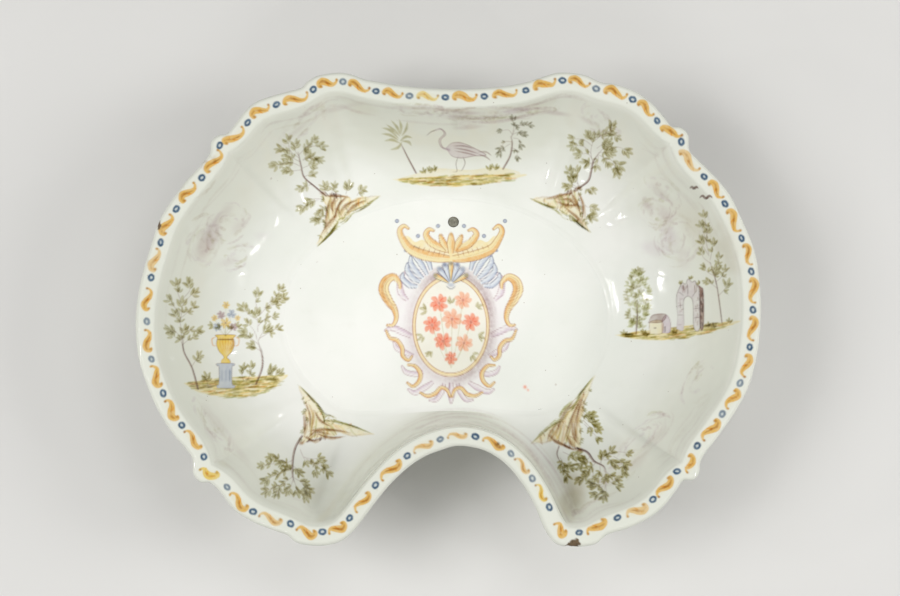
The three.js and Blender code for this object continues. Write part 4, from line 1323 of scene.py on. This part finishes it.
RIGHT_SCENE_TWIGS = [
    (718, 296, 724, 290, 727, 284), (717, 288, 712, 284, 707, 282), (716, 282, 722, 276, 724, 270),
    (714, 276, 708, 272, 704, 268), (713, 270, 718, 264, 719, 257), (711, 264, 704, 258, 701, 252),
    (710, 260, 712, 252, 713, 244), (709, 256, 704, 248, 701, 241), (709, 254, 706, 240, 708, 231),
    (707, 242, 703, 232, 701, 226), (707, 238, 706, 226, 704, 216), (716, 284, 715, 276, 716, 270),
]
ROUND_TREE_TRUNK = [(636, 334), (637, 318), (637, 300)]
BIRDS = [(706, 199, 7), (694, 189, 4.5)]


def right_scene():
    meadow(*RIGHT_GROUND)
    trunk(TALL_TREE_TRUNK, 1.3)
    for line in RIGHT_SCENE_TWIGS:
        bough(line, 6.6, 0.78)
    trunk(ROUND_TREE_TRUNK, 1.5)
    for k in range(80):
        height = k / 80
        reach = 12.5 * math.sin(math.pi * (0.14 + 0.82 * height)) ** 0.7 * dice.uniform(-1, 1)
        tint = one_of((OLIVE, SAGE, GRASS), [0.2, 0.25, 0.55])
        spray(638 + reach, 328 - 58 * height, -90 + reach * 5, 5.2, 3, tint, 0.5)
    for body in (ARCH_FRONT, ARCH_SIDE, COTTAGE_WALL, COTTAGE_GABLE):
        fill(body, None, 1.0, 0.6, 0.0)
    fill(ARCH_FRONT, LILAC, 0.45, 0.7, 0.7)
    fill(ARCH_SIDE, MANGANESE, 0.85, 0.7, 0.4)
    for line in (ARCH_FRONT, ARCH_SIDE):
        stroke(loop(line), 0.9, DARK_MANGANESE, 0.6, streak=0.7)
    for line in ARCH_JOINTS:
        stroke(line, 0.7, DARK_MANGANESE, 0.6)
    for _ in range(26):
        x, y = dice.uniform(699.5, 703), dice.uniform(290, 324)
        stroke([(x, y), (x + 0.6, y + dice.uniform(2, 6))], 1.0, DARK_MANGANESE, 0.6)
    for k in range(34):
        x, y = dice.choice([677.5, 694.5]) + dice.uniform(0, 4), dice.uniform(292, 326)
        way = (dice.uniform(1.2, 3), 0) if k % 2 else (0.3, dice.uniform(1.5, 5))
        line = shaky([(x, y), (x + way[0], y + way[1])], 0.2)
        stroke(line, dice.uniform(0.5, 1.3), (MANGANESE, MAUVE, UMBER)[k % 3], 0.45, soft=0.6)
    for k in range(12):
        x = dice.uniform(680, 697)
        line = shaky([(x, 285), (x + dice.uniform(-1, 1), 285 + dice.uniform(3, 9))], 0.3)
        stroke(line, 0.9, (MANGANESE, UMBER)[k % 2], 0.5, soft=0.7)
    for x, y in ((681, 284), (690, 279), (699, 284)):
        spray(x, y, -90 + dice.uniform(-20, 20), 4.2, 3)
    fill(COTTAGE_WALL, STRAW, 0.5, 0.7)
    fill(COTTAGE_GABLE, LILAC, 0.7, 0.7)
    fill(COTTAGE_ROOF, MANGANESE, 0.6, 0.7, 0.5)
    for body in (COTTAGE_WALL, COTTAGE_GABLE, COTTAGE_ROOF):
        stroke(loop(body), 0.6, MANGANESE, 0.7)
    stroke([(665, 332), (665, 326)], 1.6, DARK_MANGANESE, 0.7)
    stroke([(654, 328), (656, 328)], 1.5, DARK_MANGANESE, 0.6)
    for x, y in ((624, 334), (646, 336), (674, 333), (708, 326), (713, 327), (729, 322), (643, 333)):
        spray(x, y, -90, 5.0, 4)
    for x, y, size in BIRDS:
        for side in (-1, 1):
            wing = [(x, y), (x + side * size * 0.5, y - size * 0.45), (x + side * size, y - size * 0.1)]
            stroke(wing, [3.0, 2.2, 0.8], DARK_MANGANESE, 1.0)


# The scene on the back wall: a crane between two trees
BACK_GROUND = ((393, 179.5), (527, 174), 10)
BACK_BANK = [(397, 179), (415, 174), (437, 168.5), (470, 170), (497, 167), (520, 174), (470, 178)]
BACK_TRUNKS = [[(416, 173), (408, 158), (401, 144)], [(503, 169), (510, 156), (512, 144), (511, 136)]]
PALM_LEAVES = [
    (400, 143, 392, 140, 384, 141), (400, 141, 406, 137, 413, 138), (398, 140, 390, 135, 381, 134),
    (400, 136, 394, 130, 386, 124), (400, 134, 397, 127, 391, 120), (401, 134, 401, 126, 399, 119),
    (402, 136, 406, 129, 407, 121), (398, 138, 390, 130, 381, 128), (402, 142, 398, 148, 390, 150),
    (402, 141, 408, 142, 412, 146),
]
HANGING_TWIGS = [
    (511, 138, 516, 128, 522, 124), (512, 134, 508, 130, 500, 131), (513, 134, 519, 132, 524, 134),
    (512, 142, 505, 142, 500, 149), (511, 148, 516, 150, 518, 158), (512, 136, 514, 126, 513, 119),
    (519, 126, 525, 124, 530, 125), (510, 144, 504, 148, 499, 154), (513, 138, 519, 140, 521, 146),
]
CRANE_BODY = [(446, 148), (452, 143), (462, 143), (474, 148), (486, 155), (474, 156), (462, 158),
              (452, 156)]
CRANE_NECK = [(449, 150), (442, 147), (440, 140), (445, 134), (441, 129), (436, 130)]
CRANE_BILL = [(436, 130), (431, 132), (426, 136)]
CRANE_LEGS = [[(458, 157), (456, 164), (457, 171), (453, 172)],
              [(463, 157), (465, 163), (462, 170), (459, 171)]]
CRANE_FEATHERS = [[(454, 148), (466, 150), (480, 154)], [(455, 151), (466, 153), (478, 156)],
                  [(453, 146), (464, 146), (475, 149)],
                  [(478, 152), (486, 152), (492, 156)], [(478, 154), (486, 157), (491, 161)]]


def back_scene():
    fill(BACK_BANK, STRAW, 0.4, 1.2, 0.6)
    meadow(*BACK_GROUND)
    for line in BACK_TRUNKS:
        trunk(line, 1.8)
    for line in PALM_LEAVES:
        stroke(shaky(pairs(line), 0.2), [1.2, 3.2, 0.7], OLIVE, 0.7, (0.6, 0.2), 0.7, 0.45, core=DARK_OLIVE)
    for line in HANGING_TWIGS:
        bough(line, 5.0, 0.62, DARK_OLIVE)
    fill(CRANE_BODY, LILAC, 0.55, 0.8, 0.4)
    stroke(CRANE_NECK, [3.0, 2.2, 1.6, 1.5, 1.7, 2.2], LILAC, 0.6, (1, 0.8), 0.7)
    stroke(loop(CRANE_BODY), 0.7, MANGANESE, 0.75)
    for line in CRANE_FEATHERS:
        stroke(line, [0.7, 1.7, 0.6], MANGANESE, 0.65)
    for shift in (-0.9, 0.8):
        stroke(shaky(CRANE_NECK, 0.1) + [shift, shift * 0.2], 0.6, MANGANESE, 0.7)
    stroke(CRANE_BILL, [1.1, 0.4], DARK_MANGANESE, 0.8)
    for line in CRANE_LEGS:
        stroke(line, [0.9, 0.7, 0.7], DARK_MANGANESE, 0.8)
    for x, y, angle in ((424, 172, -110), (429, 171, -80), (489, 169, -80), (495, 168, -60),
                        (434, 170, -95)):
        spray(x, y, angle, 5.5, 4, SAGE)


# The middle of the floor: an oval cartouche of scrolls, with flowers in its field
FIELD_CENTRE = (451.0, 326.0)
FIELD_HALF = (37.0, 49.0)
FRAME_EDGE = [(0, 272), (-12, 268), (-26, 266), (-40, 270), (-50, 278), (-55, 290), (-54, 304), (-57, 316),
              (-60, 326),
              (-54, 336), (-47, 346), (-44, 358), (-36, 366), (-32, 376), (-36, 386), (-26, 390),
              (-14, 388), (-6, 396), (0, 401)]
SIDE_SCROLL = [(-51, 288), (-52, 282), (-58, 277), (-65, 281), (-67, 290), (-63, 300), (-57, 309),
               (-55, 318), (-58, 325), (-64, 325)]
SIDE_SCROLL_WIDTHS = [2.4, 4.0, 6.6, 9.0, 9.8, 8.4, 6.0, 4.2, 3.2, 2.0]
LOWER_SCROLLS = [
    ([(-65, 330), (-61, 338), (-54, 341), (-49, 348), (-48, 356), (-43, 360), (-39, 356)],
     [1.6, 3.0, 3.8, 4.0, 3.6, 2.8, 1.8]),
    ([(-44, 365), (-36, 366), (-31, 373), (-32, 381), (-38, 386), (-44, 382)],
     [1.8, 3.2, 4.0, 3.8, 3.0, 1.8]),
    ([(-31, 392), (-24, 396), (-16, 394), (-10, 388), (-4, 390), (-1, 397)],
     [1.8, 3.2, 3.8, 3.4, 3.0, 2.4]),
]
LILAC_LOBES = [
    ([(-40, 336), (-48, 332), (-58, 328), (-66, 330)], [4, 6, 5.5, 2]),
    ([(-38, 356), (-46, 352), (-54, 348), (-58, 342)], [3, 5, 4.5, 1.6]),
    ([(-28, 372), (-36, 374), (-45, 372), (-49, 366)], [3, 5, 4.4, 1.6]),
    ([(-18, 382), (-26, 387), (-36, 392), (-43, 389)], [3, 5.4, 4.8, 1.8]),
    ([(-7, 384), (-9, 392), (-15, 400), (-22, 400)], [3, 4.6, 4, 1.5]),
    ([(0, 383), (0, 394), (0, 403)], [3, 6.4, 2]),
    ([(-44, 300), (-50, 292), (-51, 280), (-46, 272)], [3, 6, 5, 2]),
]
ACANTHUS = [
    [(-34, 286), (-41, 285), (-48, 279), (-48, 273)], [(-31, 282), (-38, 278), (-44, 270), (-43, 263)],
    [(-28, 278), (-34, 272), (-40, 263), (-40, 256)], [(-24, 274), (-29, 265), (-35, 257), (-42, 252)],
    [(-20, 270), (-23, 260), (-31, 252), (-41, 248), (-46, 251)],
]
ACANTHUS_WIDTHS = [3.0, 5.4, 5.0, 2.2]
SHELL_RIBS = 7
CREST = [
    ([(2, 259), (13, 258), (27, 255), (40, 249), (48, 240), (51, 231), (47, 226), (42, 229)],
     [6, 9, 10, 8.6, 6.6, 5, 3.6, 2.2]),
    ([(0, 250), (9, 248), (19, 243), (25, 235), (22, 229), (17, 231)], [5, 7, 7.4, 5.6, 3.8, 2.2]),
    ([(3, 250), (8, 243), (11, 235)], [4, 6.4, 3.4]),
]
CREST_WASH = [(0, 261), (24, 258), (40, 250), (47, 238), (43, 236), (36, 242), (28, 240), (17, 247),
              (0, 250)]
CREST_HATCHES = [[(6 + 5 * k, 251 - k), (8 + 5 * k, 258 - 1.6 * k)] for k in range(7)]
CREST_HEART = [(0, 253), (0, 243), (0, 234)]
CREST_BEADS = [(33, 236), (54, 221), (13, 226)]
BOUQUET = [(-12, 303, 9.2), (12, 300, 8.8), (1, 319, 10.4), (-19, 325, 9.0), (20, 322, 9.0), (-8, 341, 9.0),
           (13, 343, 8.8), (0, 358, 6.6)]
BOUQUET_LEAVES = [(-25, 310, 200), (26, 307, 340), (28, 336, 20), (-28, 337, 160), (-20, 352, 130),
                  (22, 355, 50), (0, 303, 270)]
STEM_FOOT = (0, 368)


def both_sides(points):
    return [shaky(beside(FIELD_CENTRE[0], points, side), 0.25) for side in (1, -1)]


def cartouche():
    middle = FIELD_CENTRE[0]
    edge = beside(middle, FRAME_EDGE) + beside(middle, FRAME_EDGE[-2:0:-1], -1)
    field = oval(FIELD_CENTRE, *FIELD_HALF, 49)
    fill(edge, PALE_LILAC, 0.7, 2.5, 0.7)
    for points, widths in LILAC_LOBES:
        for line in both_sides(points):
            scrolled(line, widths, PALE_LILAC, LILAC, MAUVE)
    for reach, wide, strength in ((1.08, 7, 0.22), (1.16, 9, 0.16)):
        ring = np.array(FIELD_CENTRE) + (field - FIELD_CENTRE) * reach
        stroke(ring[:14], wide, MANGANESE, strength, (0.3, 0.3), 4.0, 0.8)
        stroke(ring[30:], wide, MANGANESE, strength * 1.5, (0.3, 0.3), 4.0, 0.8)
        stroke(ring, wide, MAUVE, strength, (1, 1), 4.0, 0.8)
    fill(field, None, 1.0, 1.0, 0.0)
    fill(field, CREAM, 0.8, 1.0, 0.3)
    stroke(field, 3.0, GOLD, 0.85, (1, 1), 0.8)
    for reach in (0.962, 1.04):
        ring = np.array(FIELD_CENTRE) + (field - FIELD_CENTRE) * reach
        stroke(ring, 0.8, AMBER, 0.85, (1, 1), 0.5)
    for points, widths in LOWER_SCROLLS:
        for line in both_sides(points):
            scrolled(line, widths, GOLD, OCHRE, AMBER)
    for points in ACANTHUS:
        for line in both_sides(points):
            scrolled(line, ACANTHUS_WIDTHS, PALE_SLATE, SLATE, DARK_SLATE)
    for line in both_sides(SIDE_SCROLL):
        scrolled(line, SIDE_SCROLL_WIDTHS, GOLD, OCHRE, AMBER)
        for distance in (-1.6, 0.2, 2.0):
            vein = shaky(beside_line(line, distance)[2:8], 0.3)
            stroke(vein, [0.5, 0.9, 0.4], AMBER, 0.6, (0.2, 0.2), 0.5)
    for k in range(SHELL_RIBS):
        angle = math.radians(-90 + (k - (SHELL_RIBS - 1) / 2) * 22)
        tip = np.array([middle + 17 * math.cos(angle), 284 + 21 * math.sin(angle)])
        root = np.array([middle, 284.0])
        body, shade = (GOLD, OCHRE) if k % 3 == 0 else (PALE_SLATE, SLATE)
        scrolled([mix(root, tip, 0.15), mix(root, tip, 0.6), tip], [1.4, 4.0, 5.4], body, shade, DARK_SLATE)
    blob(middle, 285, 5.5, 3.6, None, 1.0, ragged=0.1)
    blob(middle, 285, 5.5, 3.6, SLATE, 0.9, ragged=0.3)
    stroke([(middle - 5, 286), (middle, 289), (middle + 5, 286)], 0.9, DARK_SLATE, 0.8)
    for side in (1, -1):
        fill(beside(middle, CREST_WASH, side), GOLD, 0.75, 1.2, 0.5)
    for points, widths in CREST:
        for line in both_sides(points):
            scrolled(line, widths, GOLD, OCHRE, AMBER)
    for points in CREST_HATCHES:
        for line in both_sides(points):
            stroke(line, [0.5, 1.0, 0.4], AMBER, 0.6, (0.4, 0.1), 0.5)
    scrolled(beside(middle, CREST_HEART), [5, 8, 4], GOLD, OCHRE, AMBER)
    for x, y in CREST_BEADS:
        for side in (-1, 1):
            bead = oval((middle + side * x, y), 1.7, 1.7, 9)
            fill(bead, SLATE, 0.95, 0.6, 0.2)
            stroke(bead, 0.8, DARK_SLATE, 0.8, (1, 1), 0.5)
    foot = np.array([middle + STEM_FOOT[0], STEM_FOOT[1]])
    for x, y, _ in BOUQUET:
        here = np.array([middle + x, y])
        twig([here, mix(here, foot, 0.6) + [x * 0.12, 0], foot], 0.8, OLIVE)
    for x, y, angle in BOUQUET_LEAVES:
        spray(middle + x, y, angle, 7.5, 3, SAGE if x > 0 else OLIVE, 0.75)
    for x, y, size in BOUQUET:
        flower(middle + x, y, size, CORAL if dice.random() < 0.6 else PALE_CORAL, DARK_CORAL, 7)


# Flaws of the old painting: x, y, size, colour and strength
FLAWS = [(498, 444, 3.0, DARK_MANGANESE, 0.9), (500, 447, 2.2, UMBER, 0.8), (525, 387, 2.8, CORAL, 0.8),
         (528, 390, 2.0, CORAL, 0.7),
         (160, 226, 2.4, BUFF, 0.5), (436, 426, 1.0, MAUVE, 0.5), (317, 262, 0.8, MANGANESE, 0.5),
         (600, 262, 0.7, MANGANESE, 0.5)]

clouds_and_shade()
for tree in (BACK_LEFT_TREE, BACK_RIGHT_TREE, FRONT_LEFT_TREE, FRONT_RIGHT_TREE):
    corner_tree(tree)
left_scene()
right_scene()
back_scene()
cartouche()
border()
for x, y, size, tint, strength in FLAWS:
    blob(x, y, size, size, tint, strength, ragged=0.3)


# How much of the sheet's paint each point of the inside takes up
def sampled(points):
    blurred = paint
    for axis in (0, 1):
        blurred = 0.5 * blurred + 0.25 * (np.roll(blurred, 1, axis) + np.roll(blurred, -1, axis))
    place = (on_sheet(points) - SHEET[:2]) * SHEET_FINENESS
    place = np.clip(place, 0, np.array([sheet_columns, sheet_rows]) - 1.001)
    whole = place.astype(int)
    fx, fy = np.moveaxis(place - whole, -1, 0)[..., None]
    x, y = whole[..., 0], whole[..., 1]
    top = mix(blurred[y, x], blurred[y, x + 1], fx)
    low = mix(blurred[y + 1, x], blurred[y + 1, x + 1], fx)
    return mix(top, low, fy)


def give(thing, name, kind, values):
    """A colour or a number for each point of a mesh, for its material to read."""
    field = "color" if kind == "FLOAT_COLOR" else "value"
    made = thing.data.attributes.new(name, kind, "POINT")
    made.data.foreach_set(field, values.astype(np.float32).ravel())


# Painted shade: the inside is painted darker and greener on its steep walls and on the rim, as shade of the
# upper walls and the flange, with a little real thinning of the glaze there; the glaze outside is thin all
# over, and glaze is gone where it is chipped
SHADE_AND_THIN_GLAZE_INSIDE = 0.68
THIN_OUTSIDE = 0.6
front_count = sum(len(p) for p, _ in inside_front)
floor_count = front_count - (lip_at + 1) * STATIONS
taken = np.ones((len(inside_points), 4))
taken[:front_count, :3] = sampled(inside_points[:front_count])
give(glaze_inside, "paint", "FLOAT_COLOR", taken)
steepness = np.ones(len(inside_points))
steepness[:floor_count] = 0
steepness[floor_count:front_count] = 1 - np.concatenate([v[:, 2] for _, v in inside_front[-lip_at - 1 :]])
on_rim = smooth((inside_points[:, 2] - edge_height + 2.5) / 2.5)
give(glaze_inside, "thin_glaze_and_shade", "FLOAT", SHADE_AND_THIN_GLAZE_INSIDE * np.maximum(smooth(steepness / 0.55), on_rim))
give(glaze_outside, "thin_glaze_and_shade", "FLOAT", np.full(len(outside_points), THIN_OUTSIDE))
for thing, points in ((glaze_inside, inside_points), (glaze_outside, outside_points)):
    give(thing, "bare", "FLOAT", smooth(chip_depth(points) / GLAZE * 1.6))

# The inside's bake map shows it as seen from above, with its hidden back in one small corner
plan = (inside_points[:, :2] + [RIM_WIDTH / 2, RIM_DEPTH / 2]) / [RIM_WIDTH, RIM_DEPTH]
plan[front_count:] *= 0.02
quad_corners = 4 * (len(inside_corners) - 3 * len(glaze_inside.data.polygons))
bake_map(glaze_inside.data, inside_corners, quad_corners, plan)


# Materials
def add(tree, kind, inputs=None, **settings):
    """A shader node with its settings, its inputs set or linked."""
    made = tree.nodes.new("ShaderNode" + kind)
    for key, value in settings.items():
        setattr(made, key, value)
    for key, value in (inputs or {}).items():
        if isinstance(value, bpy.types.NodeSocket):
            tree.links.new(value, made.inputs[key])
        else:
            made.inputs[key].default_value = value
    return made


def noise(tree, place, size, detail=3.0, roughness=0.5):
    """Noise from 0 to 1 with features of a size in millimetres."""
    inputs = {"Vector": place, "Scale": 1000 / size, "Detail": detail, "Roughness": roughness}
    return add(tree, "TexNoise", inputs).outputs["Fac"]


def ranged(tree, value, low, high, to_low=0.0, to_high=1.0):
    inputs = {"Value": value, "From Min": low, "From Max": high, "To Min": to_low, "To Max": to_high}
    return add(tree, "MapRange", inputs, interpolation_type="SMOOTHSTEP").outputs["Result"]


def surface(name, roughness=None, specular=None):
    """A new material with its tree, its shader and the object's own coordinates."""
    made = bpy.data.materials.new(name)
    made.use_nodes = True
    shader = made.node_tree.nodes["Principled BSDF"]
    if roughness is not None:
        shader.inputs["Roughness"].default_value = roughness
    if specular is not None:
        shader.inputs["Specular IOR Level"].default_value = specular
    return made, made.node_tree, shader, add(made.node_tree, "TexCoord").outputs["Object"]


def blend_colour(tree, share, first, second):
    made = add(tree, "Mix", data_type="RGBA")
    for key, value in ((0, share), (6, first), (7, second)):
        if isinstance(value, bpy.types.NodeSocket):
            tree.links.new(value, made.inputs[key])
        elif key == 0:
            made.inputs[key].default_value = value
        else:
            made.inputs[key].default_value = (*value, 1.0)
    return made.outputs[2]


def maths(tree, operation, first, second=0.0):
    return add(tree, "Math", {0: first, 1: second}, operation=operation).outputs["Value"]


def bump(tree, height, distance, normal=None):
    """Bump whose full height is a distance in millimetres."""
    inputs = {"Height": height, "Distance": distance / 1000, "Strength": 1.0}
    if normal is not None:
        inputs["Normal"] = normal
    return add(tree, "Bump", inputs).outputs["Normal"]


def specks(tree, place, cell, share, size):
    """Small round marks, one in a share of cells: 1 in a mark and 0 outside."""
    dots = add(tree, "TexVoronoi", {"Vector": place, "Scale": 1000 / cell, "Randomness": 1.0})
    chance = add(tree, "SeparateColor", {"Color": dots.outputs["Color"]}).outputs["Red"]
    near = ranged(tree, dots.outputs["Distance"], size / cell * 0.5, size / cell, 1.0, 0.0)
    return maths(tree, "MULTIPLY", near, maths(tree, "LESS_THAN", chance, share))


def biscuit_colours(tree, place):
    cloud = noise(tree, place, 34, 5)
    grain = noise(tree, place, 1.3, 4, 0.7)
    tone = blend_colour(tree, ranged(tree, cloud, 0.35, 0.65), colour(196, 164, 128), colour(176, 138, 102))
    tone = blend_colour(tree, ranged(tree, grain, 0.45, 0.75, 0, 0.5), tone, colour(142, 108, 80))
    dirt = maths(tree, "MULTIPLY", ranged(tree, noise(tree, place, 9, 6, 0.65), 0.5, 0.72), 0.65)
    tone = blend_colour(tree, dirt, tone, colour(112, 84, 62))
    tone = blend_colour(tree, specks(tree, place, 2.6, 0.3, 0.5), tone, colour(94, 66, 50))
    return tone, grain


def biscuit_material():
    made, tree, shader, place = surface("biscuit_clay", 0.86, 0.25)
    tone, grain = biscuit_colours(tree, place)
    tree.links.new(tone, shader.inputs["Base Color"])
    rough = bump(tree, grain, 0.12)
    rough = bump(tree, noise(tree, place, 0.5, 2, 0.8), 0.05, rough)
    pits = bump(tree, specks(tree, place, 3.1, 0.25, 0.7), -0.25, rough)
    tree.links.new(pits, shader.inputs["Normal"])
    return made


def filler_material():
    made, tree, shader, place = surface("grey_filler", 0.9)
    cloud = noise(tree, place, 2.6, 5, 0.7)
    tone = blend_colour(tree, ranged(tree, cloud, 0.35, 0.7), colour(112, 110, 98), colour(146, 144, 132))
    tone = blend_colour(tree, specks(tree, place, 0.9, 0.35, 0.25), tone, colour(66, 62, 54))
    tree.links.new(tone, shader.inputs["Base Color"])
    tree.links.new(bump(tree, noise(tree, place, 0.7, 4, 0.8), 0.18), shader.inputs["Normal"])
    return made


def glaze_material(name, painted):
    made, tree, shader, place = surface(name)
    cloud = noise(tree, place, 70, 4, 0.55)
    light, shade = colour(233, 234, 224), colour(220, 224, 209)
    if painted:
        light, shade = colour(239, 239, 234), colour(232, 234, 227)
    tone = blend_colour(tree, ranged(tree, cloud, 0.3, 0.7), light, shade)
    # This attribute darkens the glaze towards a greener grey: painted shade on the steep inside walls and
    # the rim, and an even tone for the thinner glaze outside
    thin_glaze_and_shade = add(tree, "Attribute", attribute_name="thin_glaze_and_shade").outputs["Fac"]
    tone = blend_colour(tree, thin_glaze_and_shade, tone, colour(212, 214, 199))
    haze = ranged(tree, noise(tree, place, 12, 5, 0.7), 0.55, 0.85, 0, 0.12)
    tone = blend_colour(tree, haze, tone, colour(206, 204, 190))
    pins = specks(tree, place, 7.0, 0.22 if painted else 0.4, 0.45)
    tone = blend_colour(tree, maths(tree, "MULTIPLY", pins, 0.6), tone, colour(126, 104, 84))
    stains = specks(tree, place, 23.0, 0.16, 1.1)
    tone = blend_colour(tree, maths(tree, "MULTIPLY", stains, 0.3), tone, colour(150, 126, 104))
    if painted:
        colours = add(tree, "Attribute", attribute_name="paint")
        tone = add(tree, "VectorMath", {0: tone, 1: colours.outputs["Color"]}, operation="MULTIPLY")
        tone = tone.outputs["Vector"]
    bare = add(tree, "Attribute", attribute_name="bare").outputs["Fac"]
    clay, grain = biscuit_colours(tree, place)
    clay = blend_colour(tree, 0.8, clay, colour(68, 60, 46))
    tree.links.new(blend_colour(tree, bare, tone, clay), shader.inputs["Base Color"])
    matt = ranged(tree, noise(tree, place, 18, 5, 0.6), 0.35, 0.8, 0.07, 0.15)
    matt = maths(tree, "MAXIMUM", matt, maths(tree, "MULTIPLY", bare, 0.85))
    tree.links.new(matt, shader.inputs["Roughness"])
    shader.inputs["IOR"].default_value = 1.52
    waves = bump(tree, noise(tree, place, 30, 1.5, 0.4), 0.32)
    waves = bump(tree, noise(tree, place, 7, 2, 0.5), 0.035, waves)
    waves = bump(tree, noise(tree, place, 1.4, 2, 0.5), 0.004, waves)
    waves = bump(tree, pins, -0.08, waves)
    tree.links.new(bump(tree, maths(tree, "MULTIPLY", bare, grain), 0.3, waves), shader.inputs["Normal"])
    return made


clay = biscuit_material()
painted_glaze = glaze_material("painted_tin_glaze", True)
plain_glaze = glaze_material("plain_tin_glaze", False)
filler = filler_material()
for thing, node, slot_name, material in (
    (glaze_inside, "glaze_inside", "painted_glaze", painted_glaze),
    (glaze_outside, "glaze_outside", "plain_glaze", plain_glaze),
    (glaze_under, "glaze_under_floor", "plain_glaze", plain_glaze),
    (clay_body, "clay_body", "biscuit", clay),
    (foot_ring, "foot_ring", "biscuit", clay),
    (hole_plug, "hole_plug", "filler", filler),
):
    thing.data.materials.append(material)
    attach(thing, "root")
    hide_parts(node)


# Floor, light and camera
GROUND_HALF = 6.0
GROUND_HEIGHT = -0.0004


def floor():
    mesh = bpy.data.meshes.new("studio_floor")
    ways = ((-1, -1), (1, -1), (1, 1), (-1, 1))
    mesh.from_pydata([(GROUND_HALF * x, GROUND_HALF * y, GROUND_HEIGHT) for x, y in ways], [],
                     [(0, 1, 2, 3)])
    made = bpy.data.objects.new("studio_floor", mesh)
    bpy.context.scene.collection.objects.link(made)
    pale, tree, shader, place = surface("pale_floor", 0.9, 0.1)
    tone = blend_colour(tree, noise(tree, place, 400), colour(214, 213, 210), colour(219, 218, 215))
    tree.links.new(tone, shader.inputs["Base Color"])
    mesh.materials.append(pale)


# Soft lamps: the name, the place in metres, the width, the height and the power
SOFT_LIGHTS = [
    ("left_light", (-1.1, -0.05, 1.6), 0.9, 0.9, 15.4),
    ("right_light", (1.25, 0.0, 1.0), 0.5, 0.7, 9),
    ("back_light", (0.5, 0.6, 1.9), 0.9, 0.7, 7),
    ("front_light", (0, -1.3, 1.4), 0.9, 0.5, 4.5),
]
SKY_STRENGTH = 0.17
SENSOR_WIDTH = 36

# Small bright lamps seen in the glaze, as bright marks on the wall across from them
GLINTS = [
    ((-0.92, -0.20, 0.56), 0.03, 0.03, 0.35), ((-0.90, -0.08, 0.63), 0.03, 0.05, 0.55),
    ((-0.76, 0.02, 0.83), 0.015, 0.02, 0.1),
    ((-0.48, -0.06, 1.06), 0.14, 0.012, 0.25), ((-0.54, 0.03, 1.03), 0.12, 0.012, 0.22),
    ((-0.41, -0.77, 0.72), 0.025, 0.03, 0.32),
    ((-0.46, -0.86, 0.53), 0.015, 0.02, 0.08), ((0.87, -0.20, 0.65), 0.02, 0.03, 0.18),
    ((0.72, -0.52, 0.67), 0.012, 0.02, 0.05),
    ((0.79, -0.43, 0.66), 0.025, 0.04, 0.32), ((0.44, -0.11, 1.07), 0.08, 0.012, 0.15),
    ((0.86, 0.38, 0.59), 0.03, 0.04, 0.32),
]


def soft_light(name, place, width, height, power, mirrored=False):
    """A lamp aimed at the basin. Only the small bright ones are mirrored in the glaze."""
    lamp = bpy.data.lights.new(name, "AREA")
    lamp.shape = "RECTANGLE"
    lamp.size, lamp.size_y = width, height
    lamp.energy = power
    made = bpy.data.objects.new(name, lamp)
    bpy.context.scene.collection.objects.link(made)
    made.location = place
    made.rotation_euler = (Vector(place) - Vector((0, 0, 0.05))).to_track_quat("Z", "Y").to_euler()
    made.visible_glossy = mirrored


floor()
for lamp in SOFT_LIGHTS:
    soft_light(*lamp)
for number, (place, width, height, power) in enumerate(GLINTS):
    soft_light(f"glint_{number}", place, width, height, power, True)
world = bpy.data.worlds.new("studio")
world.use_nodes = True
sky = world.node_tree.nodes["Background"].inputs
sky["Color"].default_value = (1.0, 1.0, 1.0, 1)
sky["Strength"].default_value = SKY_STRENGTH
bpy.context.scene.world = world

eye = bpy.data.cameras.new("camera")
eye.sensor_width = SENSOR_WIDTH
eye.lens = SENSOR_WIDTH * CAMERA_DISTANCE / SHEET_UNIT / SHEET_SIZE[0]
camera = bpy.data.objects.new("camera", eye)
bpy.context.scene.collection.objects.link(camera)
camera.location = camera_place * 0.001
camera.rotation_euler = (math.pi / 2 - CAMERA_ELEVATION, 0, 0)
bpy.context.scene.camera = camera
bpy.context.scene.view_settings.view_transform = "Standard"
